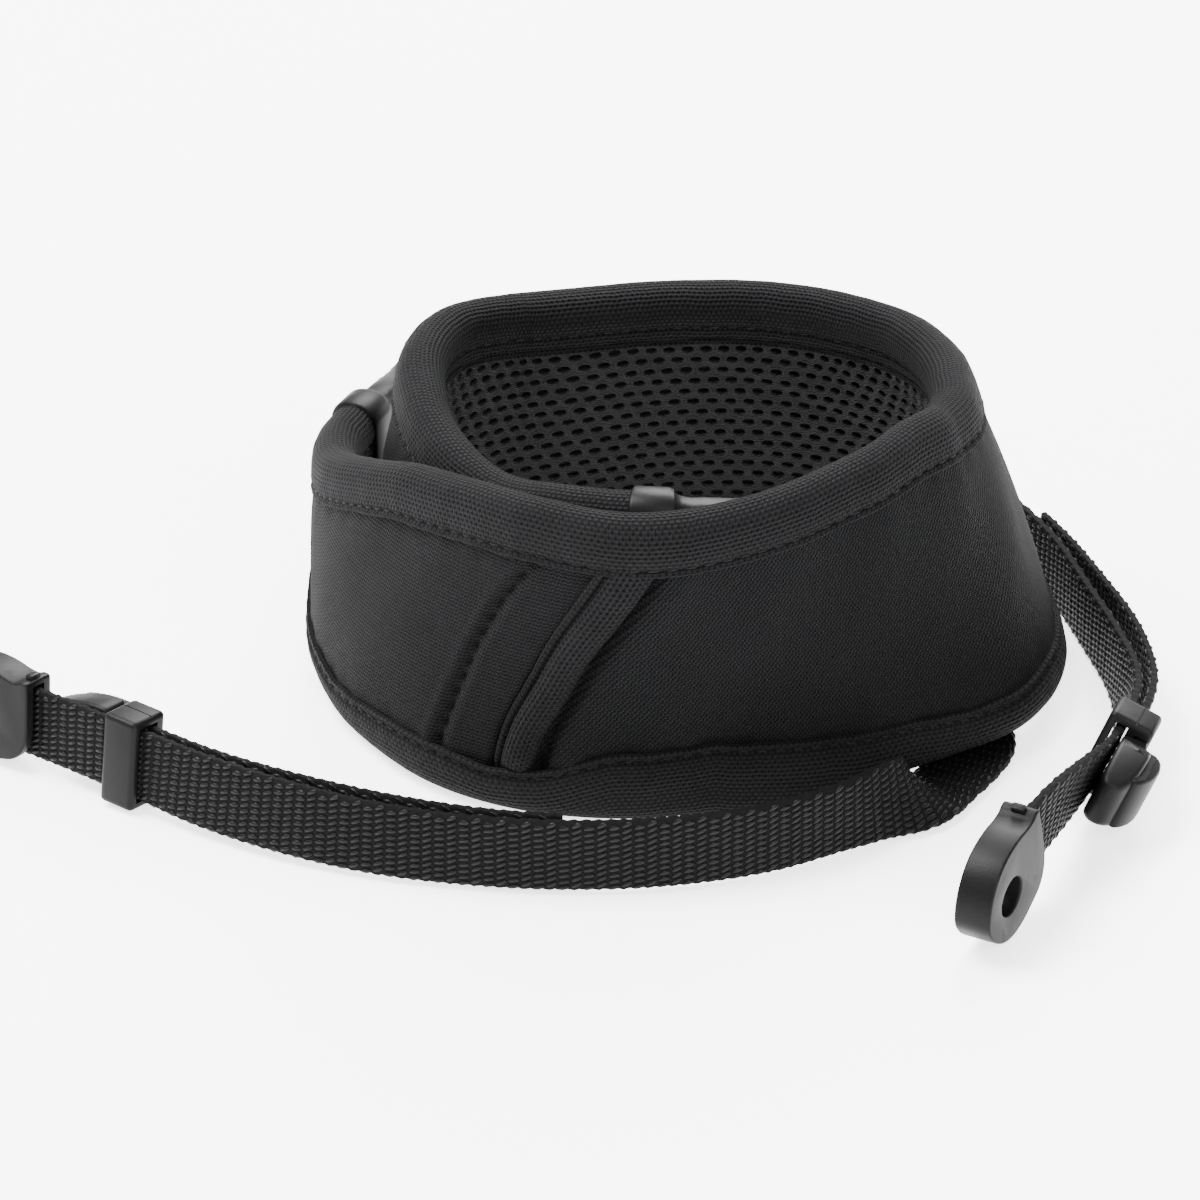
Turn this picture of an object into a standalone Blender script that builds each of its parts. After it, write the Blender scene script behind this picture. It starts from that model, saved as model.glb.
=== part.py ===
"""Padded neck strap for binoculars, wound into an oval coil that stands on its lower edge.

The pad is a crescent of foam with a knitted face outside, an air mesh inside and thick tape rolled round both
edges. A flat webbing strap leaves each of its two ends through a plastic collar, runs through an adjuster with
a hinged lever, and ends in a round-eyed connector. Metres, +Z up, standing on z = 0.
"""

import math

import bmesh
import bpy
import numpy as np
from mathutils import Matrix, Vector

MM = 0.001

# Pad
PAD_WIDTH = 54 * MM
PANEL_THICKNESS = 3.6 * MM
LINING_THICKNESS = 2.3 * MM
BINDING_THICKNESS = 7.4 * MM
BINDING_HEIGHT = 8.6 * MM
COIL_RADIUS = 58 * MM
LAYER_CORNER = 0.4 * MM
TAPE_CORNER = 0.9 * MM
PAD_STATIONS = 78

# Rolled fold across the pad's front
SEAM_ROLL_WIDTH = 5.8 * MM
SEAM_ROLL_RISE = 1.9 * MM
SEAM_ROLL_STATIONS = 18
SEAM_ROLL_ARC_POINTS = 9

# Collars at the pad's two ends
FITTING_LENGTH = 26 * MM
COLLAR_LENGTH = 5.5 * MM
FITTING_THICKNESS = 7.2 * MM
FITTING_TIP_THICKNESS = 5.2 * MM
FITTING_TIP_WALL = 1.5 * MM
FITTING_SOCKET_DEPTH = 7 * MM
FITTING_CORNER = 1.2 * MM
FITTING_LEAD_IN = 0.5 * MM

# Webbing
WEB_WIDTH = 12 * MM
WEB_THICKNESS = 1.6 * MM
WEB_STATION = 3.9 * MM
TAIL_LENGTH = 72 * MM
TAIL_BULGE = 1.6 * MM
WEB_CORNER = 0.5 * MM

# Adjusters
SLEEVE_WALL = 1.25 * MM
SLEEVE_LENGTH = 6.4 * MM
SLEEVE_THICKNESS = 7.4 * MM
TAIL_POCKET_DEPTH = 2.4 * MM
LEVER_LENGTH = 11.5 * MM
LEVER_THICKNESS = 4.8 * MM
LEVER_NECK_LENGTH = 3.0 * MM
LEVER_HUB_RADIUS = 1.15 * MM
CHEEK = 1.9 * MM
LEVER_EDGE_ROUND = 0.5 * MM

# Connectors
EYE_RADIUS = 7.75 * MM
EYE_THICKNESS = 5.8 * MM
EYE_HOLE_RADIUS = 2.8 * MM
EYE_REACH = 0.80
SADDLE_LENGTH = 5.2 * MM
SADDLE_WALL = 1.3 * MM
SADDLE_SOCKET_DEPTH = 3.4 * MM
EYE_EDGE_ROUND = 0.5 * MM

# Running clearance between pieces that touch, and the rounding of moulded edges
GAP = 0.3 * MM
SLACK = 0.1 * MM
EDGE_ROUND = 0.7 * MM
SHARP_ANGLE = math.radians(40)

# Steps to each side for finding a path's direction: degrees of turn, and length
TURN_STEP = 0.5
LINE_STEP = 0.5 * MM

# The pad's path, clockwise from the front as seen from above. radius is the wall's lower edge as a share of
# COIL_RADIUS, lift and width are shares of PAD_WIDTH, and lean is degrees inwards from upright.
PAD_COLUMNS = ("turn", "radius", "lift", "lean", "width")
PAD_ROWS = (
    (11.0, 0.728, 0.520, -1.0, 0.430),
    (28.0, 0.740, 0.345, 0.0, 0.590),
    (45.0, 0.750, 0.155, 3.0, 0.740),
    (62.0, 0.790, 0.055, 6.0, 0.870),
    (80.0, 0.845, 0.000, 9.0, 0.965),
    (100.0, 0.880, 0.000, 9.7, 1.000),
    (120.0, 0.895, 0.000, 11.2, 1.000),
    (137.0, 0.860, 0.000, 14.0, 1.000),
    (152.0, 0.800, 0.000, 15.0, 1.000),
    (172.0, 0.790, 0.000, 16.0, 1.000),
    (196.0, 0.840, 0.000, 17.0, 1.000),
    (219.0, 0.920, 0.005, 18.5, 1.000),
    (235.0, 0.960, 0.015, 19.0, 1.000),
    (252.0, 0.980, 0.030, 19.5, 1.000),
    (270.0, 0.992, 0.045, 19.5, 1.000),
    (287.0, 1.008, 0.050, 19.0, 1.000),
    (300.0, 0.985, 0.052, 18.0, 1.000),
    (312.0, 0.922, 0.052, 14.0, 1.000),
    (322.0, 0.884, 0.046, 10.0, 0.985),
    (332.0, 0.853, 0.015, 6.0, 1.000),
    (346.0, 0.828, 0.000, 0.0, 1.000),
    (360.0, 0.825, 0.000, -5.0, 1.000),
    (371.0, 0.862, 0.000, -5.0, 0.995),
    (388.0, 0.920, 0.000, 1.0, 0.980),
    (402.0, 0.950, 0.000, 6.0, 0.950),
    (419.0, 0.957, 0.000, 7.5, 0.895),
    (434.0, 0.970, 0.005, 6.5, 0.800),
    (449.0, 0.990, 0.050, 4.0, 0.665),
    (460.0, 0.992, 0.140, 2.0, 0.545),
    (471.0, 0.985, 0.235, 0.0, 0.430),
)

# The rolled fold: turn along the pad, and height as a share of the pad's width there.
SEAM_ROLL_ROWS = (
    (369.4, 0.800),
    (374.9, 0.665),
    (379.8, 0.540),
    (383.2, 0.415),
    (387.0, 0.285),
    (389.2, 0.200),
)

# The webbing's routes after the collars. right and back are shares of COIL_RADIUS from the coil's axis, height is
# that of the centre line as a share of WEB_WIDTH, and tilt is degrees from standing on edge towards lying flat.
LEFT_ROUTE = (
    (0.420, -0.500, 2.55, 15.0),
    (0.530, -0.370, 1.45, 45.0),
    (0.660, -0.345, 0.45, 75.0),
    (0.765, -0.410, 0.10, 90.0),
    (0.772, -0.520, 0.10, 90.0),
    (0.728, -0.628, 0.10, 90.0),
    (0.655, -0.750, 0.11, 88.0),
    (0.594, -0.868, 0.37, 46.0),
    (0.514, -0.948, 0.50, 18.0),
    (0.431, -1.017, 0.53, 5.0),
    (0.200, -1.150, 0.53, 0.0),
    (-0.080, -1.225, 0.53, 0.0),
    (-0.350, -1.240, 0.53, 0.0),
    (-0.600, -1.212, 0.53, 2.0),
    (-0.830, -1.155, 0.54, 6.0),
    (-1.070, -1.055, 0.57, 10.0),
    (-1.290, -0.927, 0.60, 10.0),
    (-1.450, -0.812, 0.64, 6.0),
    (-1.615, -0.691, 0.67, 4.0),
    (-1.775, -0.573, 0.68, 4.0),
)
RIGHT_ROUTE = (
    (-0.790, 1.000, 1.95, 0.0),
    (-0.560, 1.130, 1.75, 0.0),
    (-0.240, 1.180, 1.45, 0.0),
    (0.120, 1.160, 1.15, 0.0),
    (0.480, 1.040, 0.88, 0.0),
    (0.800, 0.760, 0.66, 0.0),
    (1.020, 0.380, 0.54, 0.0),
    (1.110, 0.040, 0.53, 0.0),
    (1.165, -0.230, 0.54, -4.0),
    (1.175, -0.460, 0.60, -14.0),
    (1.125, -0.690, 0.72, -21.0),
    (1.058, -0.875, 0.76, -21.0),
    (0.975, -1.060, 0.90, -12.0),
    (0.895, -1.225, 0.99, -5.0),
    (0.820, -1.360, 0.92, 0.0),
)
ROUTES = {"left": LEFT_ROUTE, "right": RIGHT_ROUTE}
# The turn at which each strap's end of the pad lies, and whether the strap leaves against or along the turn.
PAD_END = {"left": (PAD_ROWS[0][0], -1), "right": (PAD_ROWS[-1][0], 1)}
# Each adjuster's place, as the length of webbing between its sleeve's middle and the connector.
ADJUSTER_BACK = {"left": 20.7 * MM, "right": 39 * MM}
# The side of the webbing that carries the lever, to the right of the run as seen from above or to the left.
LEVER_SIDE = {"left": 1.0, "right": -1.0}
# How steeply each connector hangs down from its webbing.
CONNECTOR_DROP_DEG = {"left": 0.0, "right": 12.0}
# How far each collar bends towards the coil's axis along its length.
COLLAR_BEND_DEG = {"left": 46.0, "right": -10.0}

UP = Vector((0.0, 0.0, 1.0))
KNIT_BLACK = (0.012, 0.012, 0.013)
MESH_BLACK = (0.008, 0.008, 0.009)
TAPE_BLACK = (0.014, 0.014, 0.015)
WEB_BLACK = (0.011, 0.011, 0.012)
PLASTIC_GREY = (0.055, 0.055, 0.058)


def clear_scene():
    for obj in list(bpy.data.objects):
        bpy.data.objects.remove(obj, do_unlink=True)


def make_collection(name):
    collection = bpy.data.collections.new(name)
    bpy.context.scene.collection.children.link(collection)
    return collection


def make_material(name, colour, roughness):
    material = bpy.data.materials.new(name)
    material.use_nodes = True
    shader = material.node_tree.nodes["Principled BSDF"]
    shader.inputs["Base Color"].default_value = (*colour, 1.0)
    shader.inputs["Roughness"].default_value = roughness
    return material


def smooth_value(keys, values, at):
    """Values at one place on a smooth curve through rows of values, each row at its key."""
    slopes = np.gradient(values, keys, axis=0)
    i = int(np.clip(np.searchsorted(keys, at) - 1, 0, len(keys) - 2))
    span = keys[i + 1] - keys[i]
    f = (at - keys[i]) / span
    start = (2 * f**3 - 3 * f**2 + 1) * values[i] + (f**3 - 2 * f**2 + f) * span * slopes[i]
    end = (3 * f**2 - 2 * f**3) * values[i + 1] + (f**3 - f**2) * span * slopes[i + 1]
    return start + end


def pad_row(turn):
    table = np.array(PAD_ROWS)
    return dict(zip(PAD_COLUMNS[1:], smooth_value(table[:, 0], table[:, 1:], turn)))


def pad_foot(turn):
    row = pad_row(turn)
    angle = math.radians(-90 - turn)
    reach = row["radius"] * COIL_RADIUS
    return Vector((reach * math.cos(angle), reach * math.sin(angle), row["lift"] * PAD_WIDTH))


def pad_frame(turn):
    """The wall at a turn: foot, direction along the pad, way out, way up the wall, and width."""
    ahead = pad_foot(turn + TURN_STEP) - pad_foot(turn - TURN_STEP)
    ahead.z = 0.0
    ahead.normalize()
    level_out = UP.cross(ahead)
    row = pad_row(turn)
    lean = math.radians(row["lean"])
    up = UP * math.cos(lean) - level_out * math.sin(lean)
    out = level_out * math.cos(lean) + UP * math.sin(lean)
    return pad_foot(turn), ahead, out, up, row["width"] * PAD_WIDTH


def rounded_section(low, high, inner, outer, low_radius, high_radius, arc_points=3):
    """A rectangle with rounded corners, as (height, depth) pairs going round once."""
    corners = (
        (outer, high, -1, -1, high_radius, 0),
        (inner, high, 1, -1, high_radius, 90),
        (inner, low, 1, 1, low_radius, 180),
        (outer, low, -1, 1, low_radius, 270),
    )
    points = []
    for depth, height, depth_sign, height_sign, radius, start in corners:
        for k in range(arc_points):
            angle = math.radians(start + 90 * k / (arc_points - 1))
            points.append(
                (
                    height + height_sign * radius + radius * math.sin(angle),
                    depth + depth_sign * radius + radius * math.cos(angle),
                )
            )
    return points


def add_mesh(name, bm, material, collection):
    mesh = bpy.data.meshes.new(name)
    bmesh.ops.recalc_face_normals(bm, faces=bm.faces)
    bm.to_mesh(mesh)
    bm.free()
    mesh.materials.append(material)
    mesh.shade_smooth()
    mesh.set_sharp_from_angle(angle=SHARP_ANGLE)
    obj = bpy.data.objects.new(name, mesh)
    collection.objects.link(obj)
    return obj


def loft(name, rings, material, collection):
    """One closed body through rings of points that all go round the same way."""
    bm = bmesh.new()
    loops = [[bm.verts.new(point) for point in ring] for ring in rings]
    for first, second in zip(loops, loops[1:]):
        for i in range(len(first)):
            j = (i + 1) % len(first)
            bm.faces.new((first[i], first[j], second[j], second[i]))
    bm.faces.new(loops[0])
    bm.faces.new(loops[-1])
    bmesh.ops.remove_doubles(bm, verts=bm.verts, dist=1e-6)
    bmesh.ops.triangulate(bm, faces=bm.faces, quad_method="SHORT_EDGE")
    return add_mesh(name, bm, material, collection)


def pad_rings(section_of_width):
    """The rings of one layer of the pad, from a function that gives its section for the pad's width there."""
    rings = []
    for turn in np.linspace(PAD_ROWS[0][0], PAD_ROWS[-1][0], PAD_STATIONS):
        foot, _, out, up, width = pad_frame(turn)
        rings.append([foot + up * height + out * depth for height, depth in section_of_width(width)])
    return rings


def make_pad(collection):
    knit = make_material("knit_face", KNIT_BLACK, 0.9)
    mesh_cloth = make_material("air_mesh", MESH_BLACK, 0.95)
    tape = make_material("binding_tape", TAPE_BLACK, 0.9)
    core = (PANEL_THICKNESS + LINING_THICKNESS + GAP) / 2
    split = LINING_THICKNESS - core
    clear = BINDING_HEIGHT + GAP

    def panel(width):
        return rounded_section(clear, width - clear, split + GAP, core, LAYER_CORNER, LAYER_CORNER, 2)

    def lining(width):
        return rounded_section(clear, width - clear, -core, split, LAYER_CORNER, LAYER_CORNER, 2)

    half = BINDING_THICKNESS / 2

    def lower_tape(_):
        return rounded_section(0, BINDING_HEIGHT, -half, half, half, TAPE_CORNER, 3)

    def upper_tape(width):
        return rounded_section(width - BINDING_HEIGHT, width, -half, half, TAPE_CORNER, half, 3)

    loft("outer_panel", pad_rings(panel), knit, collection)
    loft("mesh_lining", pad_rings(lining), mesh_cloth, collection)
    loft("lower_binding", pad_rings(lower_tape), tape, collection)
    loft("upper_binding", pad_rings(upper_tape), tape, collection)
    make_seam_roll(core, tape, collection)


def make_seam_roll(core, tape, collection):
    """The rolled fold that lies on the panel's face, between the two bindings."""
    table = np.array(SEAM_ROLL_ROWS)
    share = np.linspace(0, 1, len(table))

    def on_face(at):
        turn, height = smooth_value(share, table, at)
        foot, ahead, out, up, width = pad_frame(turn)
        low = BINDING_HEIGHT + GAP + SEAM_ROLL_WIDTH / 2
        rise = min(max(height * width, low), width - low)
        return foot + up * rise + out * (core + 1.5 * GAP), out

    rings = []
    for at in np.linspace(0, 1, SEAM_ROLL_STATIONS):
        middle, out = on_face(at)
        along = (on_face(min(at + 0.01, 1))[0] - on_face(max(at - 0.01, 0))[0]).normalized()
        across = out.cross(along).normalized()
        ring = []
        for angle in np.linspace(0, math.pi, SEAM_ROLL_ARC_POINTS):
            across_by = across * math.cos(angle) * SEAM_ROLL_WIDTH / 2
            ring.append(middle + across_by + out * math.sin(angle) * SEAM_ROLL_RISE)
        rings.append(ring)
    loft("seam_roll", rings, tape, collection)


def collar_frame(side, along):
    """The collar's middle, its direction, way out, way up and the pad's width, `along` from the pad's end."""
    turn, sense = PAD_END[side]
    foot, ahead, out, up, width = pad_frame(turn)
    away = ahead * sense
    bend = math.radians(COLLAR_BEND_DEG[side])
    radius = FITTING_LENGTH / bend
    angle = along / radius
    middle = foot + up * width / 2 + away * radius * math.sin(angle) - out * radius * (1 - math.cos(angle))
    direction = away * math.cos(angle) - out * math.sin(angle)
    return middle, direction, out * math.cos(angle) + away * math.sin(angle), up, width


def make_fitting(name, side, plastic, collection, cutters):
    """A collar over the pad's end that tapers to a tip with a socket for the webbing."""
    width = pad_frame(PAD_END[side][0])[4]
    tip_width = WEB_WIDTH + 2 * (GAP + FITTING_TIP_WALL)
    collar = FITTING_THICKNESS / 2
    tip = FITTING_TIP_THICKNESS / 2
    stations = (
        (GAP, width / 2 - FITTING_LEAD_IN, collar - 0.8 * FITTING_LEAD_IN),
        (GAP + EDGE_ROUND, width / 2, collar),
        (COLLAR_LENGTH, width / 2, collar),
        (COLLAR_LENGTH + 1.2 * MM, width / 2 - 0.8 * MM, collar - 0.8 * MM),
        (FITTING_LENGTH * 0.45, width * 0.44, collar - 0.9 * MM),
        (FITTING_LENGTH * 0.70, (width * 0.34 + tip_width / 2) / 2, tip + 0.2 * MM),
        (FITTING_LENGTH - EDGE_ROUND, tip_width / 2, tip),
        (FITTING_LENGTH, tip_width / 2 - FITTING_LEAD_IN, tip - FITTING_LEAD_IN),
    )
    rings = []
    for along, half_width, half_depth in stations:
        middle, _, out, up, _ = collar_frame(side, along)
        section = rounded_section(-half_width, half_width, -half_depth, half_depth, FITTING_CORNER, FITTING_CORNER, 3)
        rings.append([middle + up * height + out * depth for height, depth in section])
    body = loft(name, rings, plastic, collection)
    middle, away, out, up, _ = collar_frame(side, FITTING_LENGTH)
    frame = axes_frame(middle, away, out, up)
    size = (2 * (FITTING_SOCKET_DEPTH + GAP), WEB_THICKNESS + 2 * GAP, WEB_WIDTH + 2 * GAP)
    cut(body, make_box(name + "_socket", size, frame, cutters))


def make_box(name, size, frame, collection, material=None):
    bm = bmesh.new()
    bmesh.ops.create_cube(bm, size=1.0, matrix=Matrix.Diagonal((*size, 1.0)))
    mesh = bpy.data.meshes.new(name)
    bm.to_mesh(mesh)
    bm.free()
    if material:
        mesh.materials.append(material)
    obj = bpy.data.objects.new(name, mesh)
    obj.matrix_world = frame
    collection.objects.link(obj)
    return obj


def make_rod(name, radius, length, frame, collection, sides=24):
    """A round bar along its frame's Z axis."""
    bm = bmesh.new()
    bmesh.ops.create_cone(
        bm, cap_ends=True, cap_tris=False, segments=sides, radius1=radius, radius2=radius, depth=length
    )
    mesh = bpy.data.meshes.new(name)
    bm.to_mesh(mesh)
    bm.free()
    obj = bpy.data.objects.new(name, mesh)
    obj.matrix_world = frame
    collection.objects.link(obj)
    return obj


def cut(body, cutter, operation="DIFFERENCE"):
    cutter.hide_render = True
    cutter.display_type = "WIRE"
    modifier = body.modifiers.new(cutter.name, "BOOLEAN")
    modifier.operation = operation
    modifier.object = cutter
    modifier.solver = "EXACT"


def round_edges(body, width=EDGE_ROUND, segments=2):
    bevel = body.modifiers.new("rounded_edges", "BEVEL")
    bevel.width = width
    bevel.segments = segments
    bevel.limit_method = "ANGLE"
    bevel.angle_limit = SHARP_ANGLE


def webbing_line(side):
    """Evenly spaced stations along a strap's centre line: place, direction, way off its face, and width axis."""
    tip, away, _, _, _ = collar_frame(side, FITTING_LENGTH)
    straight = (-FITTING_SOCKET_DEPTH, -FITTING_SOCKET_DEPTH / 2, 0, FITTING_SOCKET_DEPTH / 2)
    points = [tip + away * along for along in straight]
    tilts = [0.0] * len(points)
    for right, back, height, tilt in ROUTES[side]:
        points.append(Vector((right * COIL_RADIUS, back * COIL_RADIUS, height * WEB_WIDTH)))
        tilts.append(tilt)
    places = np.array([tuple(point) for point in points])
    lengths = np.concatenate([[0], np.cumsum(np.linalg.norm(np.diff(places, axis=0), axis=1))])
    values = np.column_stack([places, tilts])
    count = int(lengths[-1] / WEB_STATION) + 1
    line = []
    for at in np.linspace(0, lengths[-1], count):
        value = smooth_value(lengths, values, at)
        near = max(at - LINE_STEP, 0.0)
        far = min(at + LINE_STEP, lengths[-1])
        ahead = Vector(smooth_value(lengths, values, far)[:3]) - Vector(smooth_value(lengths, values, near)[:3])
        ahead.normalize()
        right_side = ahead.cross(UP).normalized()
        tilt = math.radians(value[3])
        wide = UP * math.cos(tilt) + right_side * math.sin(tilt)
        face = ahead.cross(wide).normalized()
        line.append((Vector(value[:3]), ahead, face, face.cross(ahead).normalized()))
    return line


def web_ring(place, face, wide):
    half_width, half_depth = WEB_WIDTH / 2, WEB_THICKNESS / 2
    section = rounded_section(-half_width, half_width, -half_depth, half_depth, WEB_CORNER, WEB_CORNER, 2)
    return [place + wide * height + face * depth for height, depth in section]


def line_at(line, back):
    """The place and axes at a length back from the end of a strap's centre line."""
    length = 0.0
    for later, earlier in zip(line[::-1], line[-2::-1]):
        step = (later[0] - earlier[0]).length
        if length + step >= back:
            share = (back - length) / step
            return [a.lerp(b, share) for a, b in zip(later, earlier)]
        length += step
    return list(line[0])


def axes_frame(place, along, face, wide):
    frame = Matrix((along, face, wide)).transposed().to_4x4()
    frame.translation = place
    return frame


def make_webbing(side, line, webbing, collection):
    rings = [web_ring(place, face, wide) for place, _, face, wide in line]
    loft(side + "_webbing", rings, webbing, collection)
    sleeve_start = ADJUSTER_BACK[side] + SLEEVE_LENGTH / 2 - TAIL_POCKET_DEPTH + GAP
    sign = LEVER_SIDE[side]
    rest = WEB_THICKNESS + GAP + SLACK
    rings = []
    for share in np.linspace(0, 1, int(TAIL_LENGTH / WEB_STATION)):
        place, _, face, wide = line_at(line, sleeve_start + share * TAIL_LENGTH)
        offset = rest + TAIL_BULGE * math.sin(math.pi * share) ** 2
        rings.append(web_ring(place + face * sign * offset, face, wide))
    loft(side + "_webbing_tail", rings, webbing, collection)


def make_adjuster(side, line, plastic, collection, cutters):
    """A sleeve round the webbing, and a lever hinged in a notch at the sleeve's outer corner."""
    place, along, face, _ = line_at(line, ADJUSTER_BACK[side])
    along.normalize()
    face = face - along * face.dot(along)
    face = face.normalized() * LEVER_SIDE[side]
    wide = along.cross(face).normalized()
    channel = WEB_THICKNESS + 2 * GAP
    web_depth = -SLEEVE_THICKNESS / 2 + SLEEVE_WALL + channel / 2
    centre = place - face * web_depth
    sleeve_width = WEB_WIDTH + 2 * (GAP + SLEEVE_WALL)

    def at(along_by, face_by):
        return axes_frame(centre + along * along_by + face * face_by, along, face, wide)

    sleeve = make_box(
        side + "_adjuster_sleeve", (SLEEVE_LENGTH, SLEEVE_THICKNESS, sleeve_width), at(0, 0), collection, plastic
    )
    round_edges(sleeve)
    inner_width = WEB_WIDTH + 2 * GAP
    through = make_box(side + "_channel", (SLEEVE_LENGTH * 2, channel, inner_width), at(0, web_depth), cutters)
    cut(sleeve, through)
    pocket = 2 * WEB_THICKNESS + 3 * GAP + SLACK
    pocket_frame = at(-SLEEVE_LENGTH / 2, web_depth + (pocket - channel) / 2)
    cut(sleeve, make_box(side + "_tail_pocket", (2 * TAIL_POCKET_DEPTH, pocket, inner_width), pocket_frame, cutters))
    notch_width = sleeve_width - 2 * CHEEK
    notch = 2 * (LEVER_HUB_RADIUS + GAP)
    hub_along = SLEEVE_LENGTH / 2 - LEVER_HUB_RADIUS - GAP
    hub_face = SLEEVE_THICKNESS / 2 - LEVER_HUB_RADIUS
    notch_frame = at(hub_along + notch / 2, hub_face + notch / 2)
    cut(sleeve, make_box(side + "_notch", (2 * notch, 2 * notch, notch_width), notch_frame, cutters))
    make_lever(side, at(hub_along, hub_face), web_depth - hub_face, notch_width, plastic, collection)


def make_lever(side, hub_frame, web_depth, notch_width, plastic, collection):
    """The lever's profile, pushed out along the hinge. Its object's origin is on the hinge's axis."""
    reach = LEVER_HUB_RADIUS + GAP
    inner = web_depth + WEB_THICKNESS / 2 + GAP + SLACK
    outer = inner + LEVER_THICKNESS
    neck = LEVER_NECK_LENGTH
    hub = [
        (LEVER_HUB_RADIUS * math.cos(angle), LEVER_HUB_RADIUS * math.sin(angle))
        for angle in np.radians(np.linspace(60, 300, 13))
    ]
    body = [
        (reach + GAP, -LEVER_HUB_RADIUS),
        (reach + 2 * GAP, inner),
        (neck + LEVER_LENGTH * 0.80, inner),
        (LEVER_LENGTH + 0.5 * neck, inner + 0.25 * LEVER_THICKNESS),
        (LEVER_LENGTH + 0.6 * neck, inner + 0.50 * LEVER_THICKNESS),
        (LEVER_LENGTH + 0.2 * neck, inner + 0.75 * LEVER_THICKNESS),
        (neck + LEVER_LENGTH * 0.60, outer - 0.1 * LEVER_THICKNESS),
        (neck + LEVER_LENGTH * 0.30, outer),
        (neck + 0.8 * MM, outer - 0.1 * MM),
        (neck, outer - 0.7 * MM),
        (neck - 0.2 * MM, LEVER_HUB_RADIUS),
    ]
    outline = hub + body
    bm = bmesh.new()
    rings = []
    width = notch_width - 2 * GAP
    for end in (-0.5, 0.5):
        rings.append([bm.verts.new((along, depth, end * width)) for along, depth in outline])
    for i in range(len(outline)):
        j = (i + 1) % len(outline)
        bm.faces.new((rings[0][i], rings[0][j], rings[1][j], rings[1][i]))
    bm.faces.new(rings[0])
    bm.faces.new(rings[1])
    lever = add_mesh(side + "_adjuster_lever", bm, plastic, collection)
    lever.matrix_world = hub_frame
    round_edges(lever, LEVER_EDGE_ROUND)


def make_connector(side, line, plastic, collection, cutters):
    """A round eye with a saddle that takes the webbing's end. The eye's flat faces are the webbing's sides."""
    place, along, face, wide = (v.copy() for v in line[-1])
    drop = math.radians(CONNECTOR_DROP_DEG[side])
    along = (along * math.cos(drop) - wide * math.sin(drop)).normalized()
    wide = face.cross(along).normalized()
    saddle_depth = EYE_THICKNESS
    saddle_width = WEB_WIDTH + 2 * (GAP + SADDLE_WALL)
    saddle_middle = place + along * (SADDLE_LENGTH / 2 - SADDLE_SOCKET_DEPTH + 2 * GAP)
    saddle = axes_frame(saddle_middle, along, face, wide)
    body = make_box(side + "_connector", (SADDLE_LENGTH, saddle_depth, saddle_width), saddle, collection, plastic)
    round_edges(body)
    eye_place = saddle_middle + along * (SADDLE_LENGTH / 2 + EYE_RADIUS * EYE_REACH)
    eye = axes_frame(eye_place, wide, along, face)
    disc = make_rod(side + "_eye", EYE_RADIUS, EYE_THICKNESS, eye, cutters, 36)
    round_edges(disc, EYE_EDGE_ROUND)
    cut(body, disc, "UNION")
    hole = make_rod(side + "_eye_hole", EYE_HOLE_RADIUS, EYE_THICKNESS * 2, eye, cutters, 24)
    cut(body, hole)
    depth = SADDLE_SOCKET_DEPTH
    socket = axes_frame(place - line[-1][1] * (depth - 2 * GAP), line[-1][1], line[-1][2], line[-1][3])
    size = (2 * depth, WEB_THICKNESS + 3 * GAP, WEB_WIDTH + 3 * GAP)
    cut(body, make_box(side + "_socket", size, socket, cutters))


def stand_on_floor(collection, cutters):
    """Moves everything so that the strap's box is centred on the origin and its lowest point is at z = 0."""
    bpy.context.view_layer.update()
    graph = bpy.context.evaluated_depsgraph_get()
    corners = []
    for obj in collection.objects:
        evaluated = obj.evaluated_get(graph)
        corners += [evaluated.matrix_world @ vertex.co for vertex in evaluated.data.vertices]
    points = np.array([tuple(corner) for corner in corners])
    low, high = points.min(axis=0), points.max(axis=0)
    shift = Vector((-(low[0] + high[0]) / 2, -(low[1] + high[1]) / 2, -low[2]))
    for obj in [*collection.objects, *cutters.objects]:
        obj.matrix_world = Matrix.Translation(shift) @ obj.matrix_world


def main():
    clear_scene()
    collection = make_collection("binocular_strap")
    cutters = make_collection("cutters")
    webbing = make_material("flat_webbing", WEB_BLACK, 0.7)
    plastic = make_material("satin_plastic", PLASTIC_GREY, 0.5)
    make_pad(collection)
    make_fitting("inner_end_fitting", "left", plastic, collection, cutters)
    make_fitting("outer_end_fitting", "right", plastic, collection, cutters)
    for side in ("left", "right"):
        line = webbing_line(side)
        make_webbing(side, line, webbing, collection)
        make_adjuster(side, line, plastic, collection, cutters)
        make_connector(side, line, plastic, collection, cutters)
    stand_on_floor(collection, cutters)


main()
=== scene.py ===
"""Dresses the binocular neck strap: knitted panel, air mesh, tape bindings, stitches, webbing and plastics.

Every piece is built on the same path as its solid, in metres, with its place in its mesh.
"""

import math

import bmesh
import bpy
import numpy as np
from bpy.props import FloatProperty, FloatVectorProperty, IntProperty, PointerProperty
from mathutils import Matrix


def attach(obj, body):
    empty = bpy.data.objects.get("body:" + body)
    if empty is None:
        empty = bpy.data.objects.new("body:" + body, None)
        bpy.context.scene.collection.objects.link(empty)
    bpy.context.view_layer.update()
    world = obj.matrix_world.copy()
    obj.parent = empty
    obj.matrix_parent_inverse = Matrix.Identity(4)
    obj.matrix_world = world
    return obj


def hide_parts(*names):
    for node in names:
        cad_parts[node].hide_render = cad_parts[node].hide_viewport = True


bl_info = {
    "name": "Binocular Strap",
    "version": (1, 0, 0),
    "blender": (4, 5, 0),
    "location": "View3D > Sidebar > Strap",
    "description": "Builds the cloth, webbing and plastic of a padded binocular strap on its solids",
    "category": "Object",
}

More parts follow.
